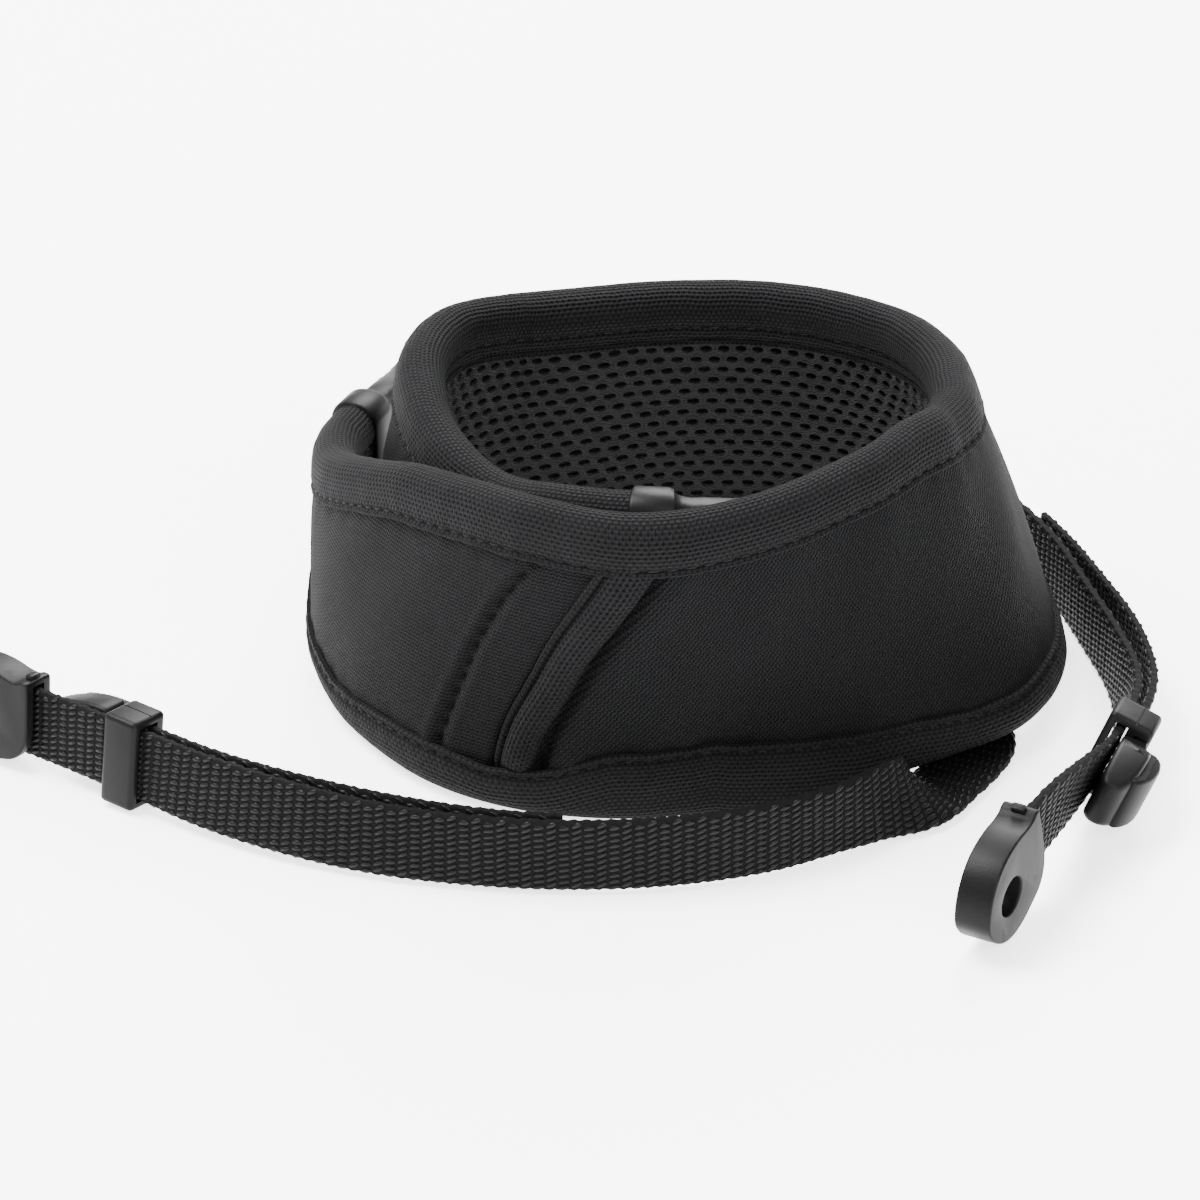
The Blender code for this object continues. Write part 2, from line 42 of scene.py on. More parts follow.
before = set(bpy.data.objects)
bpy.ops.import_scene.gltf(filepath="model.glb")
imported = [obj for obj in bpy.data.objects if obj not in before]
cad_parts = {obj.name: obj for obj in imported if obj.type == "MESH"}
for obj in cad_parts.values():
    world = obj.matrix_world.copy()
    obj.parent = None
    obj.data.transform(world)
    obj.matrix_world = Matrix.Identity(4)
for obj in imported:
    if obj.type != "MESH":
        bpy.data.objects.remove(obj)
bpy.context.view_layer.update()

MM = 0.001
TAU = 2 * math.pi
UP = np.array((0.0, 0.0, 1.0))
# Where the coil's axis stands, and how far the strap was raised to rest on the floor
COIL_AXIS = np.array((0.022311, 0.012306, 0.000242))

# Sizes of the solids that the pieces are built on
PAD_WIDTH = 54 * MM
COIL_RADIUS = 58 * MM
PAD_CORE = 3.1 * MM
PANEL_BACK = -0.5 * MM
COLLAR_LENGTH = 5.5 * MM
FITTING_LENGTH = 26 * MM
FITTING_THICKNESS = 7.2 * MM
FITTING_TIP_THICKNESS = 5.2 * MM
FITTING_TIP_WALL = 1.5 * MM
FITTING_SOCKET_DEPTH = 7 * MM
WEB_WIDTH = 12 * MM
WEB_THICKNESS = 1.6 * MM
WEB_STATION = 3.9 * MM
TAIL_LENGTH = 72 * MM
TAIL_BULGE = 1.6 * MM
SLEEVE_WALL = 1.25 * MM
SLEEVE_LENGTH = 6.4 * MM
SLEEVE_THICKNESS = 7.4 * MM
TAIL_POCKET_DEPTH = 2.4 * MM
LEVER_HUB_RADIUS = 1.15 * MM
CHEEK = 1.9 * MM
EYE_THICKNESS = 5.8 * MM
EYE_HOLE_RADIUS = 2.8 * MM
SADDLE_SOCKET_DEPTH = 3.4 * MM
GAP = 0.3 * MM

# The pad's path: turn, then radius, lift, lean and width, clockwise from the front. radius is a share of
# COIL_RADIUS, lift and width are shares of PAD_WIDTH, and lean is degrees inwards from upright.
PAD_ROWS = np.array(
    (
        (11.0, 0.728, 0.520, -1.0, 0.430),
        (28.0, 0.740, 0.345, 0.0, 0.590),
        (45.0, 0.750, 0.155, 3.0, 0.740),
        (62.0, 0.790, 0.055, 6.0, 0.870),
        (80.0, 0.845, 0.000, 9.0, 0.965),
        (100.0, 0.880, 0.000, 9.7, 1.000),
        (120.0, 0.895, 0.000, 11.2, 1.000),
        (137.0, 0.860, 0.000, 14.0, 1.000),
        (152.0, 0.800, 0.000, 15.0, 1.000),
        (172.0, 0.790, 0.000, 16.0, 1.000),
        (196.0, 0.840, 0.000, 17.0, 1.000),
        (219.0, 0.920, 0.005, 18.5, 1.000),
        (235.0, 0.960, 0.015, 19.0, 1.000),
        (252.0, 0.980, 0.030, 19.5, 1.000),
        (270.0, 0.992, 0.045, 19.5, 1.000),
        (287.0, 1.008, 0.050, 19.0, 1.000),
        (300.0, 0.985, 0.052, 18.0, 1.000),
        (312.0, 0.922, 0.052, 14.0, 1.000),
        (322.0, 0.884, 0.046, 10.0, 0.985),
        (332.0, 0.853, 0.015, 6.0, 1.000),
        (346.0, 0.828, 0.000, 0.0, 1.000),
        (360.0, 0.825, 0.000, -5.0, 1.000),
        (371.0, 0.862, 0.000, -5.0, 0.995),
        (388.0, 0.920, 0.000, 1.0, 0.980),
        (402.0, 0.950, 0.000, 6.0, 0.950),
        (419.0, 0.957, 0.000, 7.5, 0.895),
        (434.0, 0.970, 0.005, 6.5, 0.800),
        (449.0, 0.990, 0.050, 4.0, 0.665),
        (460.0, 0.992, 0.140, 2.0, 0.545),
        (471.0, 0.985, 0.235, 0.0, 0.430),
    )
)
FIRST_TURN, LAST_TURN = PAD_ROWS[0, 0], PAD_ROWS[-1, 0]

# Seams across the front: height as a share of the pad's width, and turn
FOLD_LINE = np.array(
    ((0.11, 389.9), (0.155, 389.2), (0.285, 387.1), (0.431, 383.2), (0.567, 379.7), (0.699, 375.4),
     (0.875, 369.8))
)
CROSS_SEAM = np.array(
    ((0.06, 402.3), (0.13, 402.5), (0.18, 402.8), (0.361, 399.5), (0.524, 396.1), (0.689, 391.3),
     (0.847, 385.2), (0.95, 382.0))
)
# The lower tape's stitch line: turn, and height in millimetres
LOWER_STITCH = np.array(
    ((11, 5.6), (60, 6.6), (290, 6.2), (299, 5.6), (310, 5.9), (326, 8.3), (336, 10.4), (356, 13.0),
     (374, 12.0), (385, 7.5), (393, 6.3), (402, 6.9), (414, 6.7), (431, 5.1), (471, 5.0))
)
UPPER_STITCH_DROP = 7.5 * MM
INNER_STITCH = 6.0 * MM
LINING_EDGE = 9.2 * MM

# The webbing's routes: right and back as shares of COIL_RADIUS, height as a share of WEB_WIDTH, and tilt from
# standing on edge, in degrees
ROUTES = {
    "left": (
        (0.420, -0.500, 2.55, 15.0),
        (0.530, -0.370, 1.45, 45.0),
        (0.660, -0.345, 0.45, 75.0),
        (0.765, -0.410, 0.10, 90.0),
        (0.772, -0.520, 0.10, 90.0),
        (0.728, -0.628, 0.10, 90.0),
        (0.655, -0.750, 0.11, 88.0),
        (0.594, -0.868, 0.37, 46.0),
        (0.514, -0.948, 0.50, 18.0),
        (0.431, -1.017, 0.53, 5.0),
        (0.200, -1.150, 0.53, 0.0),
        (-0.080, -1.225, 0.53, 0.0),
        (-0.350, -1.240, 0.53, 0.0),
        (-0.600, -1.212, 0.53, 2.0),
        (-0.830, -1.155, 0.54, 6.0),
        (-1.070, -1.055, 0.57, 10.0),
        (-1.290, -0.927, 0.60, 10.0),
        (-1.450, -0.812, 0.64, 6.0),
        (-1.615, -0.691, 0.67, 4.0),
        (-1.775, -0.573, 0.68, 4.0),
    ),
    "right": (
        (-0.790, 1.000, 1.95, 0.0),
        (-0.560, 1.130, 1.75, 0.0),
        (-0.240, 1.180, 1.45, 0.0),
        (0.120, 1.160, 1.15, 0.0),
        (0.480, 1.040, 0.88, 0.0),
        (0.800, 0.760, 0.66, 0.0),
        (1.020, 0.380, 0.54, 0.0),
        (1.110, 0.040, 0.53, 0.0),
        (1.165, -0.230, 0.54, -4.0),
        (1.175, -0.460, 0.60, -14.0),
        (1.125, -0.690, 0.72, -21.0),
        (1.058, -0.875, 0.76, -21.0),
        (0.975, -1.060, 0.90, -12.0),
        (0.895, -1.225, 0.99, -5.0),
        (0.820, -1.360, 0.92, 0.0),
    ),
}
PAD_END = {"left": (FIRST_TURN, -1), "right": (LAST_TURN, 1)}
ADJUSTER_BACK = {"left": 20.7 * MM, "right": 39 * MM}
LEVER_SIDE = {"left": 1.0, "right": -1.0}
CONNECTOR_DROP_DEG = {"left": 0.0, "right": 12.0}
COLLAR_BEND_DEG = {"left": 46.0, "right": -10.0}

# Quality of the meshes, and small distances
PANEL_ROWS = 60
PLAIN_STATION = 1.2 * MM
SEAM_STATION = 0.42 * MM
TAPE_STATION = 0.75 * MM
RIBBON_STATION = 0.6 * MM
FOLD_DEFAULT_WIDTH = 5.6 * MM
FLOOR_CLEARANCE = 0.05 * MM
SLACK = 0.1 * MM
RULER_POINTS = 1600
# Half of the step over which a direction is taken: degrees of turn on the pad, and length on the webbing
TURN_STEP = 0.5
LINE_STEP = 0.5 * MM

# The cloth simulation of the panel, which runs on a copy ten times as large
CLOTH_SCALE = 10.0
CLOTH_PRESSURE = 4.0
CLOTH_STIFFNESS = 12.0
CLOTH_FRAMES = 20
CLOTH_COLUMNS = 210
CLOTH_ROWS = 25
SEWN_REACH = 1.6 * MM


# Settings


def length_setting(name, description, default):
    return FloatProperty(name=name, description=description, default=default, unit="LENGTH")


def angle_setting(name, description, degrees):
    return FloatProperty(name=name, description=description, default=math.radians(degrees), subtype="ANGLE")


def colour_setting(name, description, default):
    return FloatVectorProperty(name=name, description=description, default=default, subtype="COLOR")


class StrapPadSizes(bpy.types.PropertyGroup):
    """Sizes of the pad's cloth."""

    crown: length_setting("Crown", "How far the panel stands out between its stitch lines", 0.6 * MM)
    most_swell: length_setting("Most swell", "The furthest that the stuffing pushes the panel out", 1.1 * MM)
    roll_radius: length_setting("Edge roll", "Radius of the tape rolled round each edge", 3.85 * MM)
    stitch_pitch: length_setting("Stitch pitch", "Distance from one stitch to the next", 2.9 * MM)
    stitch_length: length_setting("Stitch length", "Length of the thread that shows", 2.1 * MM)
    thread: length_setting("Thread", "Thickness of the sewing thread", 0.42 * MM)
    cell_pitch: length_setting("Mesh cell pitch", "Distance between holes along the lining", 3.3 * MM)
    cell_rows: length_setting("Mesh row pitch", "Distance between rows of holes", 2.3 * MM)
    fold_width: length_setting("Fold width", "Width of the rolled fold on the front", FOLD_DEFAULT_WIDTH)


class StrapWebSizes(bpy.types.PropertyGroup):
    """Sizes of the webbing's weave."""

    column: length_setting("Weave column", "Length of one column of slanted yarns", 1.85 * MM)
    rows: IntProperty(name="Yarn rows", description="Slanted yarns across the webbing", default=11)
    slant: angle_setting("Slant", "How far the yarns lean from the webbing's length", 27)
    odd_slant: angle_setting("Odd slant", "Lean of the yarns in every second column", 9)


class StrapColours(bpy.types.PropertyGroup):
    """Colours of the finishes."""

    knit: colour_setting("Knit", "Knitted face of the pad", (0.0020, 0.0020, 0.0022))
    tape: colour_setting("Tape", "Tape rolled round the edges", (0.0023, 0.0023, 0.0025))
    mesh: colour_setting("Air mesh", "Mesh inside the coil", (0.0020, 0.0020, 0.0021))
    webbing: colour_setting("Webbing", "Flat woven webbing", (0.0019, 0.0019, 0.0021))
    plastic: colour_setting("Plastic", "Satin moulded plastic", (0.0034, 0.0034, 0.0036))
    floor: colour_setting("Floor", "Pale floor", (0.92, 0.92, 0.92))


# Paths


def unit(vectors):
    return vectors / np.linalg.norm(vectors, axis=-1, keepdims=True)


def run_lengths(points):
    """Length along a line of points, from its first point to each."""
    return np.concatenate(([0], np.cumsum(np.linalg.norm(np.diff(points, axis=0), axis=1))))


def bump_at(distance, width):
    """1 at a distance of 0, falling to nothing over a width to each side."""
    return np.exp(-((distance / width) ** 2))


def smooth_rows(keys, values, at):
    """Rows of values on a smooth curve through a table, each table row at its key."""
    slopes = np.gradient(values, keys, axis=0)
    i = np.clip(np.searchsorted(keys, at) - 1, 0, len(keys) - 2)
    span = (keys[i + 1] - keys[i])[:, None]
    f = (at - keys[i])[:, None] / span
    start = (2 * f**3 - 3 * f**2 + 1) * values[i] + (f**3 - 2 * f**2 + f) * span * slopes[i]
    end = (3 * f**2 - 2 * f**3) * values[i + 1] + (f**3 - f**2) * span * slopes[i + 1]
    return start + end


def pad_foot(turns):
    rows = smooth_rows(PAD_ROWS[:, 0], PAD_ROWS[:, 1:], turns)
    angle = np.radians(-90.0 - turns)
    reach = rows[:, 0] * COIL_RADIUS
    foot = np.column_stack((reach * np.cos(angle), reach * np.sin(angle), rows[:, 1] * PAD_WIDTH))
    return foot + COIL_AXIS, rows


def pad_frames(turns):
    """The wall at each turn: foot, direction along the pad, way out, way up the wall, and width."""
    turns = np.asarray(turns, float)
    ahead = pad_foot(turns + TURN_STEP)[0] - pad_foot(turns - TURN_STEP)[0]
    ahead[:, 2] = 0.0
    ahead = unit(ahead)
    level_out = np.cross(UP, ahead)
    foot, rows = pad_foot(turns)
    lean = np.radians(rows[:, 2])[:, None]
    up = UP * np.cos(lean) - level_out * np.sin(lean)
    out = level_out * np.cos(lean) + UP * np.sin(lean)
    return foot, ahead, out, up, rows[:, 3] * PAD_WIDTH


def on_pad(turns, heights, depths):
    """Points on the wall. heights and depths may have one value or one row of values for each turn."""
    foot, _, out, up, _ = pad_frames(turns)
    if np.ndim(heights) == 2 or np.ndim(depths) == 2:
        foot, out, up = foot[:, None], out[:, None], up[:, None]
    return foot + up * np.asarray(heights)[..., None] + out * np.asarray(depths)[..., None]


RULER_TURNS = np.linspace(FIRST_TURN, LAST_TURN, RULER_POINTS)


def pad_ruler():
    """Length along the pad's middle at each of RULER_TURNS."""
    middle = on_pad(RULER_TURNS, pad_frames(RULER_TURNS)[4] / 2, np.zeros(len(RULER_TURNS)))
    return run_lengths(middle)


RULER = pad_ruler()
PAD_LENGTH = RULER[-1]


def length_at(turns):
    return np.interp(turns, RULER_TURNS, RULER)


def turn_at(lengths):
    return np.interp(lengths, RULER, RULER_TURNS)


def stitch_heights(turns):
    """Heights of the lower and upper stitch lines on the outer face."""
    width = pad_frames(turns)[4]
    return np.interp(turns, LOWER_STITCH[:, 0], LOWER_STITCH[:, 1]) * MM, width - UPPER_STITCH_DROP


def wander(lengths, wavelength, seed):
    """A smooth unevenness between about -1 and 1 along a length."""
    draw = np.random.default_rng(seed)
    total = np.zeros_like(lengths)
    for _ in range(5):
        total += np.sin(TAU * lengths / (wavelength * draw.uniform(0.6, 1.7)) + draw.uniform(0, TAU))
    return total / 3


def line_gap(turns, shares, seam):
    """Distance along the pad from a seam to each point of a grid, positive towards later turns."""
    crossing = np.interp(shares, seam[:, 0], seam[:, 1])
    return (length_at(turns)[:, None] if turns.ndim == 1 else length_at(turns)) - length_at(crossing)


# Meshes


def ring_faces(stations, points):
    """Faces of a closed tube of rings, and its two end caps."""
    i, j = np.meshgrid(np.arange(stations - 1), np.arange(points), indexing="ij")
    k = (j + 1) % points
    sides = np.stack((i * points + j, i * points + k, (i + 1) * points + k, (i + 1) * points + j), -1)
    last = (stations - 1) * points
    return [*sides.reshape(-1, 4).tolist(), list(range(points)), list(range(last, last + points))]


def add_object(name, mesh):
    obj = bpy.data.objects.new(name, mesh)
    bpy.context.scene.collection.objects.link(obj)
    return obj


def make_body(name, points, faces, material, uv=None, turned=None, sharp=40):
    """One piece from points and faces. turned marks the faces whose UVs are turned by KNIT_TURN."""
    mesh = bpy.data.meshes.new(name)
    mesh.from_pydata(np.asarray(points).reshape(-1, 3).tolist(), [], faces)
    bm = bmesh.new()
    bm.from_mesh(mesh)
    bmesh.ops.recalc_face_normals(bm, faces=bm.faces)
    bm.to_mesh(mesh)
    bm.free()
    if uv is not None:
        lay_uv(mesh, np.asarray(uv).reshape(-1, 2), turned)
    mesh.materials.append(material)
    mesh.shade_smooth()
    mesh.set_sharp_from_angle(angle=math.radians(sharp))
    return add_object(name, mesh)


def make_tube(name, rings, material, uv=None, sharp=40):
    """One piece from rings of points, closed at both ends."""
    return make_body(name, rings, ring_faces(*rings.shape[:2]), material, uv, sharp=sharp)


KNIT_TURN = math.radians(52)


def lay_uv(mesh, uv, turned):
    corners = np.empty(len(mesh.loops), np.int32)
    mesh.loops.foreach_get("vertex_index", corners)
    laid = uv[corners]
    if turned is not None:
        totals = np.empty(len(mesh.polygons), np.int32)
        mesh.polygons.foreach_get("loop_total", totals)
        mask = np.repeat(turned, totals)
        c, s = math.cos(KNIT_TURN), math.sin(KNIT_TURN)
        laid[mask] = laid[mask] @ np.array(((c, s), (-s, c)))
    mesh.uv_layers.new(name="UVMap").data.foreach_set("uv", laid.ravel())


def plain_mesh(obj):
    """The evaluated mesh of an object, which is then removed."""
    graph = bpy.context.evaluated_depsgraph_get()
    mesh = bpy.data.meshes.new_from_object(obj.evaluated_get(graph))
    bpy.data.objects.remove(obj, do_unlink=True)
    return mesh


def mesh_arrays(mesh):
    mesh.calc_loop_triangles()
    points = np.empty(len(mesh.vertices) * 3, np.float32)
    mesh.vertices.foreach_get("co", points)
    faces = np.empty(len(mesh.loop_triangles) * 3, np.int32)
    mesh.loop_triangles.foreach_get("vertices", faces)
    return points.reshape(-1, 3).astype(float), faces.reshape(-1, 3)


def finish_piece(obj, slot, body, *nodes):
    """Rides a finished piece on its body and hides the solids that it stands for; its slot, the finish's
    name, is not used.
    """
    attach(obj, body)
    if nodes:
        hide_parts(*nodes)
    return obj


# Node trees


class Signal:
    """One socket of a node tree, which takes part in arithmetic by adding Math nodes."""

    def __init__(self, sketch, socket):
        self.sketch = sketch
        self.socket = socket

    def math(self, operation, *others):
        return self.sketch.math(operation, self, *others)

    def output(self, name):
        return Signal(self.sketch, self.socket.node.outputs[name])

    def __add__(self, other):
        return self.math("ADD", other)

    def __radd__(self, other):
        return self.math("ADD", other)

    def __sub__(self, other):
        return self.math("SUBTRACT", other)

    def __rsub__(self, other):
        return self.sketch.math("SUBTRACT", other, self)

    def __mul__(self, other):
        return self.math("MULTIPLY", other)

    def __rmul__(self, other):
        return self.math("MULTIPLY", other)

    def __truediv__(self, other):
        return self.math("DIVIDE", other)

    def __rtruediv__(self, other):
        return self.sketch.math("DIVIDE", other, self)

    def __mod__(self, other):
        return self.math("FLOORED_MODULO", other)

    def __rmod__(self, other):
        return self.sketch.math("FLOORED_MODULO", other, self)


class Sketch:
    """A node tree that is being drawn."""

    def __init__(self, tree):
        self.tree = tree

    def node(self, kind, settings=None, inputs=None, output=0):
        """A node of any kind: its settings, then the values or links of its sockets."""
        made = self.tree.nodes.new(kind)
        for name, value in (settings or {}).items():
            setattr(made, name, value)
        for key, value in (inputs or {}).items():
            if isinstance(value, Signal):
                self.tree.links.new(value.socket, made.inputs[key])
            else:
                made.inputs[key].default_value = value
        return Signal(self, made.outputs[output])

    def math(self, operation, *values):
        return self.node("ShaderNodeMath", {"operation": operation}, dict(enumerate(values)))

    def blend(self, share, first, second):
        """A colour between two others."""
        return self.node("ShaderNodeMix", {"data_type": "RGBA"}, {0: share, 6: first, 7: second}, 2)

    def noise(self, place, scale, detail=2.0):
        return self.node("ShaderNodeTexNoise", inputs={"Vector": place, "Scale": scale, "Detail": detail})


def wave(signal, period):
    """A sine of a length, once in each period."""
    return (signal * (TAU / period)).math("SINE")


def ribs(signal, period):
    """Ridges from 0 to 1, one in each period."""
    return wave(signal, period) * 0.5 + 0.5


def shade(colour, factor):
    return (*(min(value * factor, 1.0) for value in colour), 1.0)


def make_finish(name, sketch_surface, constants):
    """A material from a function that gives its colour, roughness, bump height and bump distance."""
    material = bpy.data.materials.new(name)
    material.use_nodes = True
    shader = material.node_tree.nodes["Principled BSDF"]
    for socket, value in constants.items():
        shader.inputs[socket].default_value = value
    sketch = Sketch(material.node_tree)
    colour, roughness, height, distance, strength = sketch_surface(sketch)
    bump = sketch.node(
        "ShaderNodeBump", inputs={"Strength": strength, "Distance": distance, "Height": height}
    )
    for socket, value in (("Base Color", colour), ("Roughness", roughness), ("Normal", bump)):
        material.node_tree.links.new(value.socket, shader.inputs[socket])
    return material


def object_place(sketch):
    return sketch.node("ShaderNodeTexCoord", output="Object")


def cloth_place(sketch):
    """Lengths along and across the cloth, in metres."""
    uv = sketch.node("ShaderNodeUVMap", {"uv_map": "UVMap"})
    split = sketch.node("ShaderNodeSeparateXYZ", inputs={0: uv})
    return split.output("X"), split.output("Y")


CLOTH_SHEEN = {"Sheen Weight": 0.008, "Sheen Roughness": 0.4, "Specular IOR Level": 0.06}
KNIT_RIB, KNIT_LOOP, KNIT_WAVE = 0.62 * MM, 0.5 * MM, 0.9 * MM
TAPE_RIB, TAPE_ROW = 0.95 * MM, 0.72 * MM
NET_YARN, NET_YARN_WAVE = 0.38 * MM, 3.3 * MM


def knit_finish():
    """Fine knit: close ribs of small loops, with fuzz and slight unevenness. Its colour is lighter on the rib
    and loop tops and darker in the hollows between them, as painted highlight and painted shade, with random
    tone from the fuzz and patches.
    """
    colour = bpy.context.scene.strap_colours.knit

    def surface(sketch):
        along, across = cloth_place(sketch)
        place = object_place(sketch)
        rib = ribs(across + wave(along, KNIT_WAVE) * (0.09 * MM), KNIT_RIB)
        loop = ribs(along + across * 0.35, KNIT_LOOP)
        fuzz = sketch.noise(place, 2600.0, 3.0)
        patch = sketch.noise(place, 90.0, 2.0)
        height = rib * 0.62 + loop * 0.28 + fuzz * 0.35
        # light: painted highlight on the rib and loop tops and painted shade in their hollows, plus random
        # tone from fuzz and patch
        light = rib * 0.42 + loop * 0.26 + fuzz * 0.55 + patch * 0.2 - 0.32
        return (
            sketch.blend(light, shade(colour, 0.05), shade(colour, 5.0)),
            0.92 - rib * 0.14, height, 0.24 * MM, 1.0,
        )

    return make_finish("knitted_face", surface, CLOTH_SHEEN)


def tape_finish():
    """Ribbed tape: short crossing ribs that show as small cells, coloured lighter on the cell tops and darker
    in the hollows as painted highlight and painted shade, with random tone from fuzz and patches.
    """
    colour = bpy.context.scene.strap_colours.tape

    def surface(sketch):
        along, across = cloth_place(sketch)
        place = object_place(sketch)
        first = ribs(along + across * 0.6, TAPE_RIB)
        second = ribs(along - across * 0.6, TAPE_RIB)
        rows = ribs(across, TAPE_ROW)
        cell = first.math("MAXIMUM", second) * 0.55 + rows * 0.45
        fuzz = sketch.noise(place, 2300.0, 3.0)
        patch = sketch.noise(place, 120.0, 2.0)
        # light: painted highlight on the cell tops and painted shade in the hollows, plus random tone from
        # fuzz and patch
        light = cell * 0.75 + fuzz * 0.5 + patch * 0.25 - 0.42
        return (
            sketch.blend(light, shade(colour, 0.05), shade(colour, 5.0)),
            0.90 - cell * 0.12, cell + fuzz * 0.35, 0.36 * MM, 1.0,
        )

    return make_finish("ribbed_tape", surface, CLOTH_SHEEN)


def mesh_finish(name, factor):
    """Air mesh yarn: fine wavy filaments, coloured lighter on the yarn ridges as painted highlight, with
    painted glints from noise. factor scales the colour, and the spacer layer's low factor is painted shade
    under the net.
    """
    colour = bpy.context.scene.strap_colours.mesh

    def surface(sketch):
        along, across = cloth_place(sketch)
        place = object_place(sketch)
        yarn = ribs(across + wave(along, NET_YARN_WAVE) * (0.25 * MM), NET_YARN)
        glint = sketch.noise(place, 700.0, 2.0)
        # light: painted highlight on the yarn ridges and painted glints
        light = yarn * 0.55 + glint * 0.5 - 0.12
        return (
            sketch.blend(light, shade(colour, 0.3 * factor), shade(colour, 3.0 * factor)),
            0.62 - yarn * 0.16, yarn, 0.12 * MM, 0.8,
        )

    return make_finish(name, surface, {"Specular IOR Level": 0.14})


def webbing_finish(name, factor, roughness):
    """Woven yarn: fine filaments with slight differences from yarn to yarn. factor scales the colour, and the
    ribbon under the yarns takes a low one as painted shade between the yarns.
    """
    colour = bpy.context.scene.strap_colours.webbing

    def surface(sketch):
        place = object_place(sketch)
        yarn = sketch.noise(place, 1500.0, 2.0)
        patch = sketch.noise(place, 260.0, 2.0)
        light = yarn * 0.7 + patch * 0.6 - 0.2
        return (
            sketch.blend(light, shade(colour, 0.45 * factor), shade(colour, 1.9 * factor)),
            roughness + yarn * 0.12, yarn, 0.08 * MM, 0.7,
        )

    return make_finish(name, surface, {"Specular IOR Level": 0.12})


def thread_finish():
    """Sewing thread: a twisted filament, a little glossier than the cloth."""
    colour = bpy.context.scene.strap_colours.tape

    def surface(sketch):
        twist = sketch.noise(object_place(sketch), 3200.0, 1.0)
        return (
            sketch.blend(twist, shade(colour, 0.5), shade(colour, 2.0)),
            0.55 + twist * 0.15, twist, 0.06 * MM, 0.6,
        )

    return make_finish("sewing_thread", surface, {"Specular IOR Level": 0.14})


def plastic_finish():
    """Satin plastic: a fine spark-eroded grain, with roughness that drifts and small handling marks."""
    colour = bpy.context.scene.strap_colours.plastic

    def surface(sketch):
        place = object_place(sketch)
        grain = sketch.noise(place, 2400.0, 2.0)
        drift = sketch.noise(place, 70.0, 3.0)
        scuff = sketch.noise(place, 420.0, 4.0).math("GREATER_THAN", 0.66)
        light = grain * 0.35 + drift * 0.55
        return (
            sketch.blend(light, shade(colour, 0.72), shade(colour, 1.35)),
            0.36 + drift * 0.16 + scuff * 0.06, grain, 0.05 * MM, 0.45,
        )

    return make_finish("satin_plastic_grain", surface, {"Specular IOR Level": 0.08})


# Geometry node trees


def open_tree(name, inputs):
    """A geometry tree with named inputs, and its sketch, input node and output node."""
    tree = bpy.data.node_groups.new(name, "GeometryNodeTree")
    for label, kind in inputs:
        tree.interface.new_socket(label, in_out="INPUT", socket_type=kind)
    tree.interface.new_socket("Geometry", in_out="OUTPUT", socket_type="NodeSocketGeometry")
    sketch = Sketch(tree)
    entry = tree.nodes.new("NodeGroupInput")
    return sketch, {label: Signal(sketch, entry.outputs[label]) for label, _ in inputs}


def close_tree(sketch, instances, material):
    """Realizes the instances, gives them their finish and ends the tree."""
    real = sketch.node("GeometryNodeRealizeInstances", inputs={"Geometry": instances})
    done = sketch.node("GeometryNodeSetMaterial", inputs={"Geometry": real, "Material": material})
    exit_node = sketch.tree.nodes.new("NodeGroupOutput")
    sketch.tree.links.new(done.socket, exit_node.inputs[0])
    return sketch.tree


def lattice_tree():
    """Copies of a motif on a flat lattice. Odd rows and columns are staggered, and odd columns slant."""
    sketch, given = open_tree(
        "motif_lattice",
        (("Columns", "NodeSocketInt"), ("Rows", "NodeSocketInt"),
         ("Column Pitch", "NodeSocketFloat"), ("Row Pitch", "NodeSocketFloat"),
         ("Row Stagger", "NodeSocketFloat"), ("Column Stagger", "NodeSocketFloat"),
         ("Slant", "NodeSocketFloat"), ("Odd Slant", "NodeSocketFloat"),
         ("Motif", "NodeSocketObject"), ("Finish", "NodeSocketMaterial")),
    )
    grid = sketch.node(
        "GeometryNodeMeshGrid",
        inputs={
            "Size X": (given["Columns"] - 1) * given["Column Pitch"],
            "Size Y": (given["Rows"] - 1) * given["Row Pitch"],
            "Vertices X": given["Columns"],
            "Vertices Y": given["Rows"],
        },
    )
    index = sketch.node("GeometryNodeInputIndex")
    row = index % given["Rows"]
    column = ((index - row) / given["Rows"]).math("ROUND")
    odd = column % 2
    shift = sketch.node(
        "ShaderNodeCombineXYZ",
        inputs={"X": (row % 2) * given["Row Stagger"], "Y": odd * given["Column Stagger"]},
    )
    placed = sketch.node("GeometryNodeSetPosition", inputs={"Geometry": grid, "Offset": shift})
    slant = (1 - odd) * given["Slant"] + odd * given["Odd Slant"]
    euler = sketch.node("ShaderNodeCombineXYZ", inputs={"Z": slant})
    motif = sketch.node("GeometryNodeObjectInfo", inputs={"Object": given["Motif"]}, output="Geometry")
    copies = sketch.node(
        "GeometryNodeInstanceOnPoints",
        inputs={
            "Points": placed,
            "Instance": motif,
            "Rotation": sketch.node("FunctionNodeEulerToRotation", inputs={"Euler": euler}),
        },
    )
    return close_tree(sketch, copies, given["Finish"])


